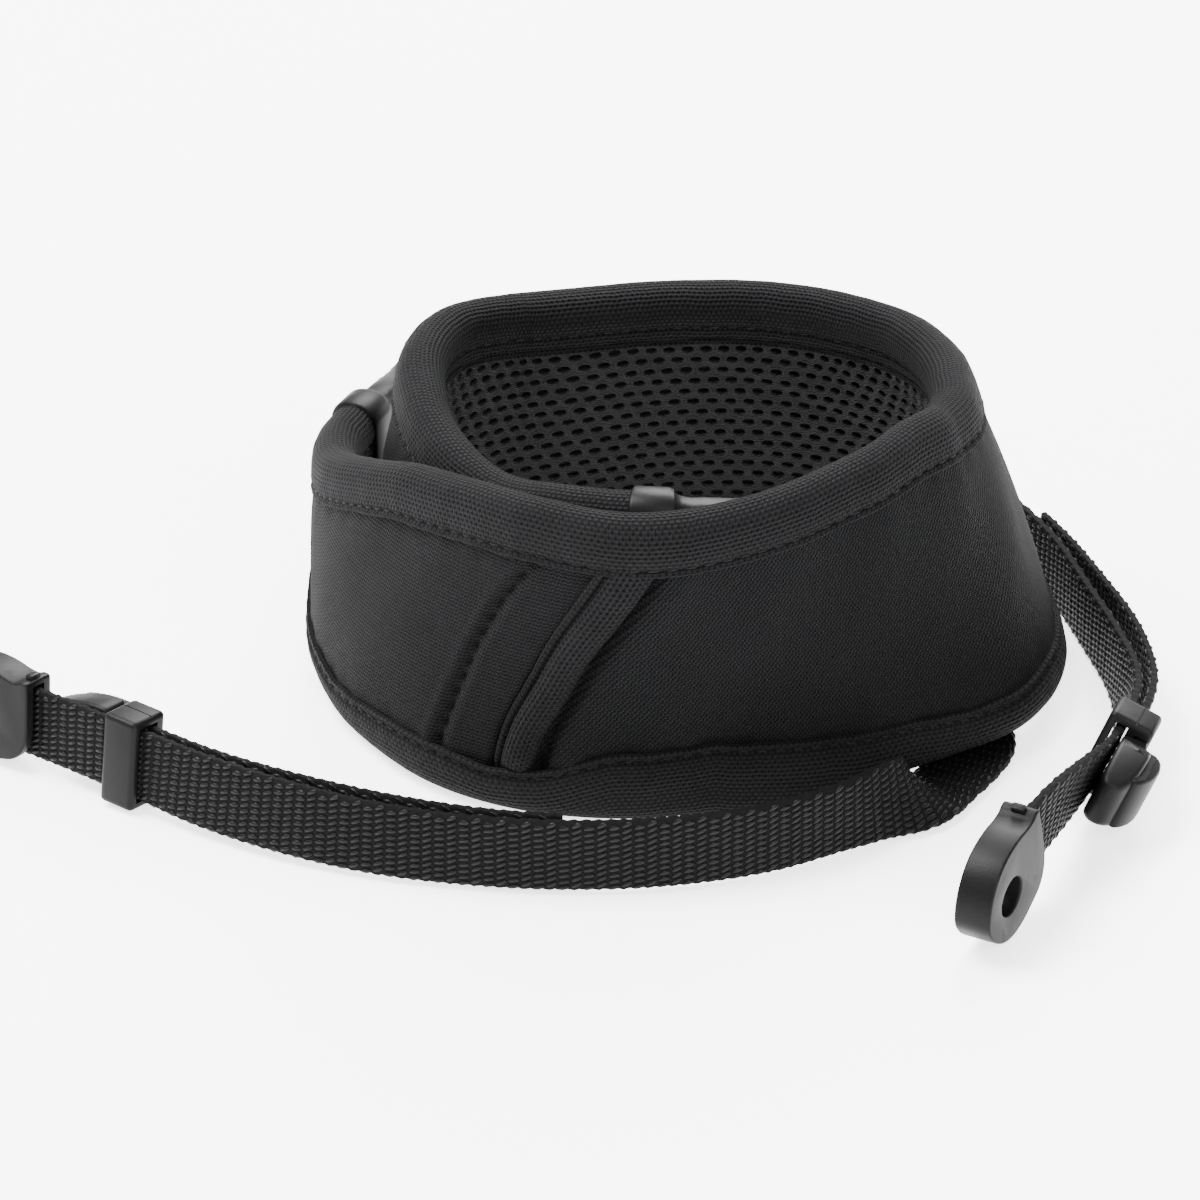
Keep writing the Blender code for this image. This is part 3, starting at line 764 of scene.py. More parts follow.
def stitch_tree():
    """Stitches along guide lines that carry the way off the cloth in an attribute."""
    sketch, given = open_tree(
        "stitch_row",
        (("Geometry", "NodeSocketGeometry"), ("Pitch", "NodeSocketFloat"), ("Length", "NodeSocketFloat"),
         ("Thread", "NodeSocketFloat"), ("Finish", "NodeSocketMaterial")),
    )
    line = sketch.node("GeometryNodeMeshToCurve", inputs={"Mesh": given["Geometry"]})
    spaced = sketch.node(
        "GeometryNodeResampleCurve", {"mode": "LENGTH"}, {"Curve": line, "Length": given["Pitch"]}
    )
    off_cloth = sketch.node(
        "GeometryNodeInputNamedAttribute", {"data_type": "FLOAT_VECTOR"}, {"Name": "off_cloth"}, "Attribute"
    )
    turned = sketch.node(
        "FunctionNodeAxesToRotation",
        {"primary_axis": "X", "secondary_axis": "Z"},
        {"Primary Axis": sketch.node("GeometryNodeInputTangent"), "Secondary Axis": off_cloth},
    )
    bead = sketch.node("GeometryNodeMeshUVSphere", inputs={"Segments": 6, "Rings": 5, "Radius": 0.5})
    copies = sketch.node(
        "GeometryNodeInstanceOnPoints",
        inputs={
            "Points": spaced,
            "Instance": bead,
            "Rotation": turned,
            "Scale": sketch.node(
                "ShaderNodeCombineXYZ",
                inputs={"X": given["Length"], "Y": given["Thread"], "Z": given["Thread"]},
            ),
        },
    )
    return close_tree(sketch, copies, given["Finish"])


def grow(tree, guide, **inputs):
    """The plain mesh that a geometry tree makes on a guide mesh."""
    carrier = add_object("guide", guide)
    modifier = carrier.modifiers.new("pattern", "NODES")
    modifier.node_group = tree
    for item in tree.interface.items_tree:
        if item.in_out == "INPUT" and item.name in inputs:
            modifier[item.identifier] = inputs[item.name]
    return plain_mesh(carrier)


# Pad


# How much each seam holds the panel down, and how far along the pad
FOLD_CALM, FOLD_CALM_REACH = 0.75, 5 * MM
CROSS_CALM, CROSS_CALM_REACH = 0.8, 3 * MM


def seam_calm(turns, shares):
    """1 on plain cloth, and near 0 where a seam across the front holds the panel down."""
    by_fold = 1 - FOLD_CALM * bump_at(line_gap(turns, shares, FOLD_LINE), FOLD_CALM_REACH)
    by_cross = 1 - CROSS_CALM * bump_at(line_gap(turns, shares, CROSS_SEAM), CROSS_CALM_REACH)
    return by_fold * by_cross


def swelled_panel(turns, shares):
    """How far the stuffing pushes each grid point out, by a cloth simulation between the seams."""
    sizes = bpy.context.scene.strap_pad
    dome = (1 - np.abs(2 * shares - 1) ** 2.6) * seam_calm(turns, shares)
    low, high = (value[:, None] for value in stitch_heights(turns))
    heights = low + (high - low) * shares
    outer = on_pad(turns, heights, PAD_CORE + 0.3 * MM * dome)
    inner = on_pad(turns, heights[:, ::-1][:, ::6], np.full((len(turns), len(shares[0][::6])), PANEL_BACK))
    rings = np.concatenate((outer, inner), axis=1)
    columns, points = rings.shape[:2]
    mesh = bpy.data.meshes.new("panel_cloth")
    mesh.from_pydata((rings.reshape(-1, 3) * CLOTH_SCALE).tolist(), [], ring_faces(columns, points))
    cloth = add_object("panel_cloth", mesh)
    sewn = np.ones((columns, points), bool)
    near = np.min([np.abs(line_gap(turns, shares, seam)) for seam in (FOLD_LINE, CROSS_SEAM)], axis=0)
    free = near > SEWN_REACH
    free[:, (0, -1)] = False
    free[(0, -1), :] = False
    sewn[:, : outer.shape[1]] = ~free
    group = cloth.vertex_groups.new(name="sewn")
    group.add(np.flatnonzero(sewn.ravel()).tolist(), 1.0, "REPLACE")
    simulation = cloth.modifiers.new("swelling", "CLOTH")
    settings = simulation.settings
    settings.vertex_group_mass = group.name
    settings.use_pressure = True
    settings.uniform_pressure_force = CLOTH_PRESSURE
    settings.tension_stiffness = settings.compression_stiffness = CLOTH_STIFFNESS
    settings.effector_weights.gravity = 0.0
    scene = bpy.context.scene
    for step in range(1, CLOTH_FRAMES + 1):
        scene.frame_set(step)
    moved, _ = mesh_arrays(plain_mesh(cloth))
    scene.frame_set(1)
    _, _, out, _, _ = pad_frames(turns)
    face = moved.reshape(columns, points, 3)[:, : outer.shape[1]] / CLOTH_SCALE
    pushed = np.clip(np.einsum("ijk,ik->ij", face - outer, out), 0, None)
    return pushed / (1 + pushed / sizes.most_swell)


# The stretch of turns that holds both seams across the front
SEAM_TURNS = np.array((364.0, 408.0))
PANEL_TUCK = 1.0 * MM
# The stitched seam: depth, half width, and the small ridges that stand beside it
SEAM_DEPTH, SEAM_HALF_WIDTH = 0.75 * MM, 0.75 * MM
RIDGE_RISE, RIDGE_PLACE, RIDGE_WIDTH = 0.32 * MM, 2.0 * MM, 1.0 * MM
# The bed that the rolled fold lies in, with a groove and a soft swell before it
BED_DEPTH = 1.2 * MM
BED_START, BED_START_SLOPE = 5.2 * MM, 1.6 * MM
BED_END, BED_END_SLOPE = 4.6 * MM, 1.2 * MM
GROOVE_DEPTH, GROOVE_PLACE, GROOVE_WIDTH = 1.0 * MM, 3.7 * MM, 0.9 * MM
SWELL_RISE, SWELL_PLACE, SWELL_WIDTH = 0.45 * MM, 7.6 * MM, 2.6 * MM
# Small unevenness: stitches that pull at the edges, and slow waves over the cloth
EDGE_PULL, EDGE_PULL_REACH = 0.10 * MM, 3.5 * MM
CLOTH_WAVE, CLOTH_WAVELENGTH = 0.16 * MM, 26 * MM


def panel_lengths():
    """Stations along the pad, closer together where the seams cross the front."""
    dense_from, dense_to = length_at(SEAM_TURNS)
    return np.concatenate(
        (
            np.arange(0, dense_from, PLAIN_STATION),
            np.arange(dense_from, dense_to, SEAM_STATION),
            np.arange(dense_to, PAD_LENGTH, PLAIN_STATION),
            [PAD_LENGTH],
        )
    )


def panel_depths(lengths, turns, heights, shares, between, span, swelling, sizes):
    """The outer face's depth at each grid point, with its crown, swelling, seams and unevenness."""
    crown = sizes.crown * (1 - np.abs(2 * between - 1) ** 3) * seam_calm(turns, shares)
    depths = PAD_CORE - 0.15 * MM + crown + swelling
    cross = line_gap(turns, shares, CROSS_SEAM)
    pucker = 1 + 0.35 * np.sin(TAU * heights / sizes.stitch_pitch)
    depths -= SEAM_DEPTH * bump_at(cross, SEAM_HALF_WIDTH) * pucker
    depths += RIDGE_RISE * bump_at(np.abs(cross) - RIDGE_PLACE, RIDGE_WIDTH)
    fold = line_gap(turns, shares, FOLD_LINE)
    bed = np.clip((fold + BED_START) / BED_START_SLOPE, 0, 1)
    bed = bed * np.clip((BED_END - fold) / BED_END_SLOPE, 0, 1)
    depths -= BED_DEPTH * bed * bed * (3 - 2 * bed)
    depths -= GROOVE_DEPTH * bump_at(fold + GROOVE_PLACE, GROOVE_WIDTH)
    depths += SWELL_RISE * bump_at(fold + SWELL_PLACE, SWELL_WIDTH)
    along = np.broadcast_to(lengths[:, None], heights.shape)
    edges = bump_at(between * span, EDGE_PULL_REACH) + bump_at((1 - between) * span, EDGE_PULL_REACH)
    depths += EDGE_PULL * edges * np.sin(TAU * along / (2 * sizes.stitch_pitch))
    depths += CLOTH_WAVE * wander(along + heights * 0.6, CLOTH_WAVELENGTH, 3)
    return depths, fold


class STRAP_OT_knit_panel(bpy.types.Operator):
    """Knitted outer panel, swelled between its stitch lines, with the seam across the front"""

    bl_idname = "strap.knit_panel"
    bl_label = "Knit panel"

    def execute(self, context):
        sizes = context.scene.strap_pad
        coarse_turns = turn_at(np.linspace(0, PAD_LENGTH, CLOTH_COLUMNS))
        coarse_shares = np.linspace(0, 1, CLOTH_ROWS)
        swell = swelled_panel(coarse_turns, np.tile(coarse_shares, (CLOTH_COLUMNS, 1)))
        lengths = panel_lengths()
        turns = turn_at(lengths)
        low, high = (value[:, None] for value in stitch_heights(turns))
        rise = np.linspace(0, 1, PANEL_ROWS)[None]
        heights = (low - PANEL_TUCK) + (high - low + 2 * PANEL_TUCK) * rise
        between = np.clip((heights - low) / (high - low), 0, 1)
        shares = heights / pad_frames(turns)[4][:, None]
        columns = np.array([np.interp(turns, coarse_turns, column) for column in swell.T]).T
        swelling = np.array([np.interp(at, coarse_shares, column) for at, column in zip(between, columns)])
        depths, fold = panel_depths(lengths, turns, heights, shares, between, high - low, swelling, sizes)
        outer = on_pad(turns, heights, depths)
        inner_heights = heights[:, ::-1][:, :: PANEL_ROWS // 4]
        inner = on_pad(turns, inner_heights, np.full(inner_heights.shape, PANEL_BACK))
        rings = np.concatenate((outer, inner), axis=1)
        uv = np.stack(
            (
                np.broadcast_to(lengths[:, None], rings.shape[:2]),
                np.concatenate((heights, inner_heights), axis=1),
            ),
            -1,
        )
        faces = ring_faces(*rings.shape[:2])
        points = rings.shape[1]
        first = np.array([face[0] for face in faces])
        station, row = first // points, np.minimum(first % points, PANEL_ROWS - 1)
        turned = fold[station, row] < 0
        panel = make_body("knit_panel", rings, faces, knit_finish(), uv, turned)
        finish_piece(panel, "knit_face", "strap", "outer_panel")
        return {"FINISHED"}


# The mesh cell's rings inside its rim: share of the pitch, share of the row pitch, and height
CELL_RINGS = ((0.42, 0.40, 0.34 * MM), (0.30, 0.27, 0.12 * MM), (0.28, 0.25, -0.45 * MM))
CELL_RIM_HEIGHT = 0.10 * MM
SPACER_TUCK = 1.6 * MM
SPACER_DEPTH = 0.55 * MM
SPACER_BACK = 0.35 * MM
NET_WAVE, NET_WAVELENGTH = 0.10 * MM, 18 * MM


def cell_motif(sizes):
    """One mesh cell: a raised ring of yarn round an oval hole. Its six-sided rim meets its neighbours'."""
    pitch, rows = sizes.cell_pitch, sizes.cell_rows
    quarter = rows / 3
    corners = (
        (pitch / 2, 0), (pitch / 2, quarter), (pitch / 4, rows / 2), (0, rows - quarter),
        (-pitch / 4, rows / 2), (-pitch / 2, quarter), (-pitch / 2, 0), (-pitch / 2, -quarter),
        (-pitch / 4, -rows / 2), (0, quarter - rows), (pitch / 4, -rows / 2), (pitch / 2, -quarter),
    )
    rings = [[(x, y, CELL_RIM_HEIGHT) for x, y in corners]]
    angles = [math.atan2(y, x) for x, y in corners]
    for share_x, share_y, height in CELL_RINGS:
        rings.append(
            [(pitch * share_x * math.cos(a), rows * share_y * math.sin(a), height) for a in angles]
        )
    points = [point for ring in rings for point in ring]
    faces = []
    for level in range(len(rings) - 1):
        start, above = level * len(corners), (level + 1) * len(corners)
        for j in range(len(corners)):
            k = (j + 1) % len(corners)
            faces.append((start + j, start + k, above + k, above + j))
    mesh = bpy.data.meshes.new("cell_motif")
    mesh.from_pydata(points, [], faces)
    return add_object("cell_motif", mesh)


class STRAP_OT_air_mesh(bpy.types.Operator):
    """Air mesh inside the coil: a spacer layer, darkened with painted shade, under a net of staggered oval
    holes
    """

    bl_idname = "strap.air_mesh"
    bl_label = "Air mesh"

    def execute(self, context):
        sizes = context.scene.strap_pad
        turns = turn_at(np.linspace(0, PAD_LENGTH, 220))
        width = pad_frames(turns)[4][:, None]
        edge = LINING_EDGE - SPACER_TUCK
        rise = np.linspace(0, 1, 8)[None]
        heights = edge + (width - 2 * edge) * rise
        face = on_pad(turns, heights, np.full(heights.shape, SPACER_DEPTH - PAD_CORE))
        back = on_pad(turns, heights[:, ::-1], np.full(heights.shape, PANEL_BACK - SPACER_BACK))
        rings = np.concatenate((face, back), axis=1)
        lengths = length_at(turns)[:, None]
        uv = np.stack(
            (
                np.broadcast_to(lengths, rings.shape[:2]),
                np.concatenate((heights, heights[:, ::-1]), axis=1),
            ),
            -1,
        )
        # The spacer layer takes the mesh colour at 0.35 of the net's strength: painted shade under the net
        spacer = make_tube("spacer_layer", rings, mesh_finish("spacer_yarn_painted_shade", 0.35), uv)
        finish_piece(spacer, "air_mesh", "strap", "mesh_lining")
        columns = int(PAD_LENGTH / sizes.cell_pitch) + 1
        rows = int((PAD_WIDTH - 2 * edge) / sizes.cell_rows) + 1
        net_yarn = mesh_finish("net_yarn", 1.0)
        motif = cell_motif(sizes)
        flat, faces = mesh_arrays(
            grow(
                lattice_tree(), bpy.data.meshes.new("lattice"), Columns=columns, Rows=rows,
                **{"Column Pitch": sizes.cell_pitch, "Row Pitch": sizes.cell_rows,
                   "Row Stagger": sizes.cell_pitch / 2, "Motif": motif, "Finish": net_yarn},
            )
        )
        bpy.data.objects.remove(motif, do_unlink=True)
        flat[:, 0] += (columns - 1) * sizes.cell_pitch / 2
        flat[:, 1] += edge + rows * sizes.cell_rows / 2
        flat, faces = without_doubles(flat, faces)
        centre = flat[faces].mean(axis=1)
        top = pad_frames(turn_at(centre[:, 0]))[4] - edge
        faces = faces[(centre[:, 1] < top) & (centre[:, 0] > 0) & (centre[:, 0] < PAD_LENGTH)]
        kept, index = np.unique(faces, return_inverse=True)
        flat, faces = flat[kept], index.reshape(-1, 3)
        lift = NET_WAVE * wander(flat[:, 0] + 3 * flat[:, 1], NET_WAVELENGTH, 7)
        points = on_pad(turn_at(flat[:, 0]), flat[:, 1], -(PAD_CORE + flat[:, 2] + lift))
        net = make_body("air_mesh_net", points, faces.tolist(), net_yarn, flat[:, :2], sharp=75)
        finish_piece(net, "air_mesh", "strap", "mesh_lining")
        return {"FINISHED"}


def without_doubles(points, faces):
    """Merges points that lie together, to a thousandth of a millimetre."""
    places = np.round(points / (0.001 * MM))
    _, first, index = np.unique(places, axis=0, return_index=True, return_inverse=True)
    merged = index.reshape(-1)[faces]
    whole = (merged != np.roll(merged, 1, axis=1)).all(axis=1)
    return points[first], merged[whole]


# The tape's section on each side of the pad, in millimetres: height off the stitch line, depth off the face
TAPE_OUTSIDE = (
    (1.15, -0.05), (1.25, 0.42), (1.05, 0.74), (0.6, 0.78), (0.28, 0.52), (0.0, 0.30), (-0.3, 0.50),
    (-0.75, 0.80),
)
TAPE_INSIDE = (
    (-0.7, 0.72), (-0.3, 0.45), (0.0, 0.25), (0.3, 0.45), (0.9, 0.62), (2.2, 0.55), (2.55, 0.30),
    (2.85, 0.62), (3.2, 0.82), (3.55, 0.62), (3.65, -0.1),
)
TAPE_SLOPE_DEPTH = 0.86 * MM
TAPE_PULL = 0.07 * MM
TAPE_PULL_REACH = 1.2 * MM
TAPE_EDGE_WAVE = 0.08 * MM
# Unevenness of the tape's thickness: share, wavelength, and the step on from the tape's own seed
TAPE_WAVES = ((0.018, 22 * MM, 0), (0.010, 6 * MM, 5))


def tape_section(stitch, inner_stitch, roll):
    """The rolled tape's section, as heights above the pad's edge and depths, one row for each station."""
    angles = np.radians(np.linspace(0, -180, 13))
    one = np.ones_like(stitch)
    face = PAD_CORE
    heights = [stitch + by * MM for by, _ in TAPE_OUTSIDE]
    depths = [(face + depth * MM) * one for _, depth in TAPE_OUTSIDE]
    heights.append((heights[-1] + roll) / 2)
    depths.append((face + TAPE_SLOPE_DEPTH) * one)
    for angle in angles:
        heights.append((roll + roll * math.sin(angle)) * one)
        depths.append(roll * math.cos(angle) * one)
    for by, depth in TAPE_INSIDE:
        heights.append((inner_stitch + by * MM) * one)
        depths.append(-(face + depth * MM) * one)
    heights.append(inner_stitch * one)
    depths.append(-0.6 * face * one)
    heights.append(0.8 * stitch)
    depths.append(0.6 * face * one)
    return np.array(heights).T, np.array(depths).T


class STRAP_OT_bindings(bpy.types.Operator):
    """Ribbed tape rolled round the pad's two edges, pulled in at its stitch lines"""

    bl_idname = "strap.bindings"
    bl_label = "Tape bindings"

    def execute(self, context):
        sizes = context.scene.strap_pad
        lengths = np.linspace(0, PAD_LENGTH, int(PAD_LENGTH / TAPE_STATION))
        turns = turn_at(lengths)
        width = pad_frames(turns)[4]
        low, high = stitch_heights(turns)
        tape = tape_finish()
        for name, stitch, seed in (("lower", low, 11), ("upper", width - high, 12)):
            heights, depths = tape_section(stitch, INNER_STITCH, sizes.roll_radius)
            uneven = 1 + sum(
                share * wander(lengths, wavelength, seed + later)[:, None]
                for share, wavelength, later in TAPE_WAVES
            )
            pull = TAPE_PULL * np.sin(TAU * lengths / sizes.stitch_pitch)[:, None]
            near_groove = bump_at(heights - stitch[:, None], TAPE_PULL_REACH) * np.sign(depths)
            depths = depths * uneven + pull * near_groove
            edge_wave = TAPE_EDGE_WAVE * wander(lengths, 9 * MM, seed + 9)[:, None]
            heights = heights + edge_wave * (heights > stitch[:, None])
            steps = np.hypot(np.diff(heights, axis=1), np.diff(depths, axis=1))
            across = np.cumsum(np.concatenate((np.zeros((len(steps), 1)), steps), axis=1), axis=1)
            if name == "upper":
                heights = width[:, None] - heights
            rings = on_pad(turns, heights, depths)
            rings[..., 2] = np.maximum(rings[..., 2], FLOOR_CLEARANCE)
            uv = np.stack(np.broadcast_arrays(lengths[:, None], across), -1)
            piece = make_tube(name + "_tape", rings, tape, uv, sharp=60)
            finish_piece(piece, "binding_tape", "strap", name + "_binding")
        return {"FINISHED"}


# The rolled fold's section: millimetres across it, towards later turns, and millimetres off the panel
FOLD_SECTION = np.array(
    (
        (4.05, -0.5), (4.05, 0.35), (3.8, 0.72), (3.35, 0.70), (3.05, 0.30), (2.92, 0.05), (2.8, 0.35),
        (2.55, 1.05), (2.0, 1.65), (1.1, 2.05), (0.0, 2.2), (-1.1, 2.1), (-2.0, 1.72), (-2.55, 1.1),
        (-2.8, 0.35), (-2.85, -0.5), (0.5, -0.7),
    )
)

FOLD_SINK = 0.85 * MM
# How far the fold rises and how wide it is, by its height as a share of the pad's width
FOLD_RISE = ((0.11, 0.142, 0.165, 0.20, 0.78, 0.85, 0.875), (0.1, 0.4, 0.8, 1, 1, 0.62, 0.4))
FOLD_NARROW = ((0.11, 0.15, 0.20, 0.45, 0.85), (0.7, 0.86, 0.90, 0.97, 1.16))


class STRAP_OT_rolled_fold(bpy.types.Operator):
    """Rolled fold of tape that crosses the front, with a second thin fold along it"""

    bl_idname = "strap.rolled_fold"
    bl_label = "Rolled fold"

    def execute(self, context):
        sizes = context.scene.strap_pad
        shares = np.linspace(FOLD_LINE[0, 0], FOLD_LINE[-1, 0], 90)
        turns = smooth_rows(FOLD_LINE[:, 0], FOLD_LINE[:, 1:], shares)[:, 0]
        width = pad_frames(turns)[4]
        low, high = stitch_heights(turns)
        heights = shares * width
        between = np.clip((heights - low) / (high - low), 0, 1)
        depth = PAD_CORE - FOLD_SINK + sizes.crown * 0.5 * (1 - np.abs(2 * between - 1) ** 3)
        middle = on_pad(turns, heights, depth)
        _, ahead, out, _, _ = pad_frames(turns)
        along = unit(np.gradient(middle, axis=0))
        across = unit(np.cross(along, out))
        across *= np.sign(np.einsum("ij,ij->i", across, ahead))[:, None]
        rise = np.interp(shares, *FOLD_RISE)
        narrow = np.interp(shares, *FOLD_NARROW)
        narrow *= sizes.fold_width / FOLD_DEFAULT_WIDTH
        length = run_lengths(middle)
        narrow = narrow * (1 + 0.03 * wander(length, 14 * MM, 21))
        rings = (
            middle[:, None]
            + across[:, None] * (FOLD_SECTION[None, :, :1] * MM) * narrow[:, None, None]
            + out[:, None] * (FOLD_SECTION[None, :, 1:] * MM) * rise[:, None, None]
        )
        around = run_lengths(FOLD_SECTION * MM)
        uv = np.stack(np.broadcast_arrays(length[:, None], around[None]), -1)
        fold = make_tube("rolled_tape_fold", rings, bpy.data.materials["ribbed_tape"], uv, sharp=70)
        finish_piece(fold, "binding_tape", "strap", "seam_roll")
        return {"FINISHED"}


def guide_mesh(lines):
    """Guide lines as one mesh of edges, with the way off the cloth at each point."""
    points, edges, normals = [], [], []
    for line, off_cloth in lines:
        start = len(points)
        points += line.tolist()
        normals += off_cloth.tolist()
        edges += [(start + i, start + i + 1) for i in range(len(line) - 1)]
    mesh = bpy.data.meshes.new("stitch_guides")
    mesh.from_pydata(points, edges, [])
    layer = mesh.attributes.new("off_cloth", "FLOAT_VECTOR", "POINT")
    layer.data.foreach_set("vector", np.array(normals).ravel())
    return mesh


STITCH_END = 1.5 * MM
STITCH_RISE_OUTSIDE, STITCH_RISE_INSIDE = 0.34 * MM, 0.30 * MM


class STRAP_OT_stitches(bpy.types.Operator):
    """Sewing thread along both tapes, outside and inside"""

    bl_idname = "strap.stitches"
    bl_label = "Stitches"

    def execute(self, context):
        sizes = context.scene.strap_pad
        turns = turn_at(np.linspace(STITCH_END, PAD_LENGTH - STITCH_END, 500))
        _, _, out, _, width = pad_frames(turns)
        low, high = stitch_heights(turns)
        one = np.ones(len(turns))
        outside = (PAD_CORE + STITCH_RISE_OUTSIDE) * one
        inside = -(PAD_CORE + STITCH_RISE_INSIDE) * one
        lines = [
            (on_pad(turns, low, outside), out),
            (on_pad(turns, high, outside), out),
            (on_pad(turns, INNER_STITCH * one, inside), -out),
            (on_pad(turns, width - INNER_STITCH, inside), -out),
        ]
        stitches = grow(
            stitch_tree(), guide_mesh(lines), Pitch=sizes.stitch_pitch, Length=sizes.stitch_length,
            Thread=sizes.thread, Finish=thread_finish(),
        )
        stitches.name = "tape_stitches"
        stitches.shade_smooth()
        finish_piece(add_object("tape_stitches", stitches), "binding_tape", "strap")
        return {"FINISHED"}


# Webbing


def collar_frame(side, along):
    """The collar's middle, its direction, way out, way up and the pad's width, `along` from the pad's end."""
    turn, sense = PAD_END[side]
    foot, ahead, out, up, width = (value[0] for value in pad_frames(np.array([turn])))
    away = ahead * sense
    bend = math.radians(COLLAR_BEND_DEG[side])
    radius = FITTING_LENGTH / bend
    angle = along / radius
    middle = foot + up * width / 2 + away * radius * math.sin(angle) - out * radius * (1 - math.cos(angle))
    direction = away * math.cos(angle) - out * math.sin(angle)
    return middle, direction, out * math.cos(angle) + away * math.sin(angle), up, width


def webbing_line(side, station):
    """Even stations along a strap's centre line: place, direction, way off its face, and width axis."""
    tip, away, _, _, _ = collar_frame(side, FITTING_LENGTH)
    straight = (-FITTING_SOCKET_DEPTH, -FITTING_SOCKET_DEPTH / 2, 0, FITTING_SOCKET_DEPTH / 2)
    rows = [(*(tip + away * along), 0.0) for along in straight]
    for right, back, height, tilt in ROUTES[side]:
        place = np.array((right * COIL_RADIUS, back * COIL_RADIUS, height * WEB_WIDTH)) + COIL_AXIS
        rows.append((*place, tilt))
    rows = np.array(rows)
    lengths = run_lengths(rows[:, :3])
    at = np.linspace(0, lengths[-1], int(lengths[-1] / station) + 1)
    value = smooth_rows(lengths, rows, at)
    far = smooth_rows(lengths, rows, np.minimum(at + LINE_STEP, lengths[-1]))
    near = smooth_rows(lengths, rows, np.maximum(at - LINE_STEP, 0.0))
    ahead = unit((far - near)[:, :3])
    right_side = unit(np.cross(ahead, UP))
    tilt = np.radians(value[:, 3])[:, None]
    face = unit(np.cross(ahead, UP * np.cos(tilt) + right_side * np.sin(tilt)))
    return value[:, :3], ahead, face, unit(np.cross(face, ahead))


def line_at(line, back):
    """The places and axes at lengths back from the end of a strap's centre line."""
    steps = np.linalg.norm(np.diff(line[0], axis=0), axis=1)
    to_end = np.concatenate((np.cumsum(steps[::-1])[::-1], [0]))
    found = []
    for values in line:
        found.append(
            np.stack([np.interp(back, to_end[::-1], values[::-1, axis]) for axis in range(3)], axis=-1)
        )
    return found


YARN_HALF_SIZE = (0.92 * MM, 0.40 * MM, 0.27 * MM)
# Half thickness of the webbing's body under its yarns
BASE_DEPTH = 0.58 * MM
WEAVE_MARGIN = 0.3 * MM
EDGE_INSET, EDGE_TOOTH = 0.12 * MM, 0.14 * MM
# The body's section: shares of its half width and half thickness
RIBBON_SECTION = (
    (1, 0.0), (0.985, 0.75), (0.95, 1.0), (0.5, 1.0), (0, 1.0), (-0.5, 1.0), (-0.95, 1.0), (-0.985, 0.75),
    (-1, 0.0), (-0.985, -0.75), (-0.95, -1.0), (-0.5, -1.0), (0, -1.0), (0.5, -1.0), (0.95, -1.0),
    (0.985, -0.75),
)


def yarn_motif():
    """One slanted yarn: a flattened bead."""
    mesh = bpy.data.meshes.new("yarn_motif")
    bm = bmesh.new()
    bmesh.ops.create_uvsphere(
        bm, u_segments=6, v_segments=4, radius=1.0, matrix=Matrix.Rotation(math.radians(90), 4, "Y")
    )
    for vertex in bm.verts:
        for axis, half in enumerate(YARN_HALF_SIZE):
            vertex.co[axis] *= half
    bm.to_mesh(mesh)
    bm.free()
    return add_object("yarn_motif", mesh)


def weave_on(line, tree, motif, yarn, sizes):
    """Slanted yarns on both faces of a webbing line, as points and faces."""
    place, _, face, wide = line
    lengths = run_lengths(place)
    columns = int(lengths[-1] / sizes.column)
    row_pitch = (WEB_WIDTH - WEAVE_MARGIN) / (sizes.rows + 0.5)
    flat, faces = mesh_arrays(
        grow(
            tree, bpy.data.meshes.new("lattice"), Columns=columns, Rows=sizes.rows,
            **{"Column Pitch": lengths[-1] / columns, "Row Pitch": row_pitch, "Column Stagger": row_pitch / 2,
               "Slant": sizes.slant, "Odd Slant": sizes.odd_slant, "Motif": motif, "Finish": yarn},
        )
    )
    flat[:, 1] -= row_pitch / 4
    x = np.clip(flat[:, 0] + lengths[-1] / 2, 0, lengths[-1])
    middle, off, across = (
        np.stack([np.interp(x, lengths, values[:, axis]) for axis in range(3)], -1)
        for values in (place, face, wide)
    )
    points, both = [], []
    for sign in (1, -1):
        both.append(faces + len(points) * len(flat))
        rise = (BASE_DEPTH + flat[:, 2]) * sign
        points.append(middle + off * rise[:, None] + across * (flat[:, 1] * sign)[:, None])
    return np.concatenate(points), np.concatenate(both)


def ribbon_rings(line, sizes):
    """The webbing's body, with small teeth along its edges."""
    place, _, face, wide = line
    lengths = run_lengths(place)
    half = WEB_WIDTH / 2 - EDGE_INSET + EDGE_TOOTH * np.sin(TAU * lengths / sizes.column)
    return np.stack(
        [
            place + wide * (half * share)[:, None] + face * (depth * BASE_DEPTH)
            for share, depth in RIBBON_SECTION
        ],
        axis=1,
    )


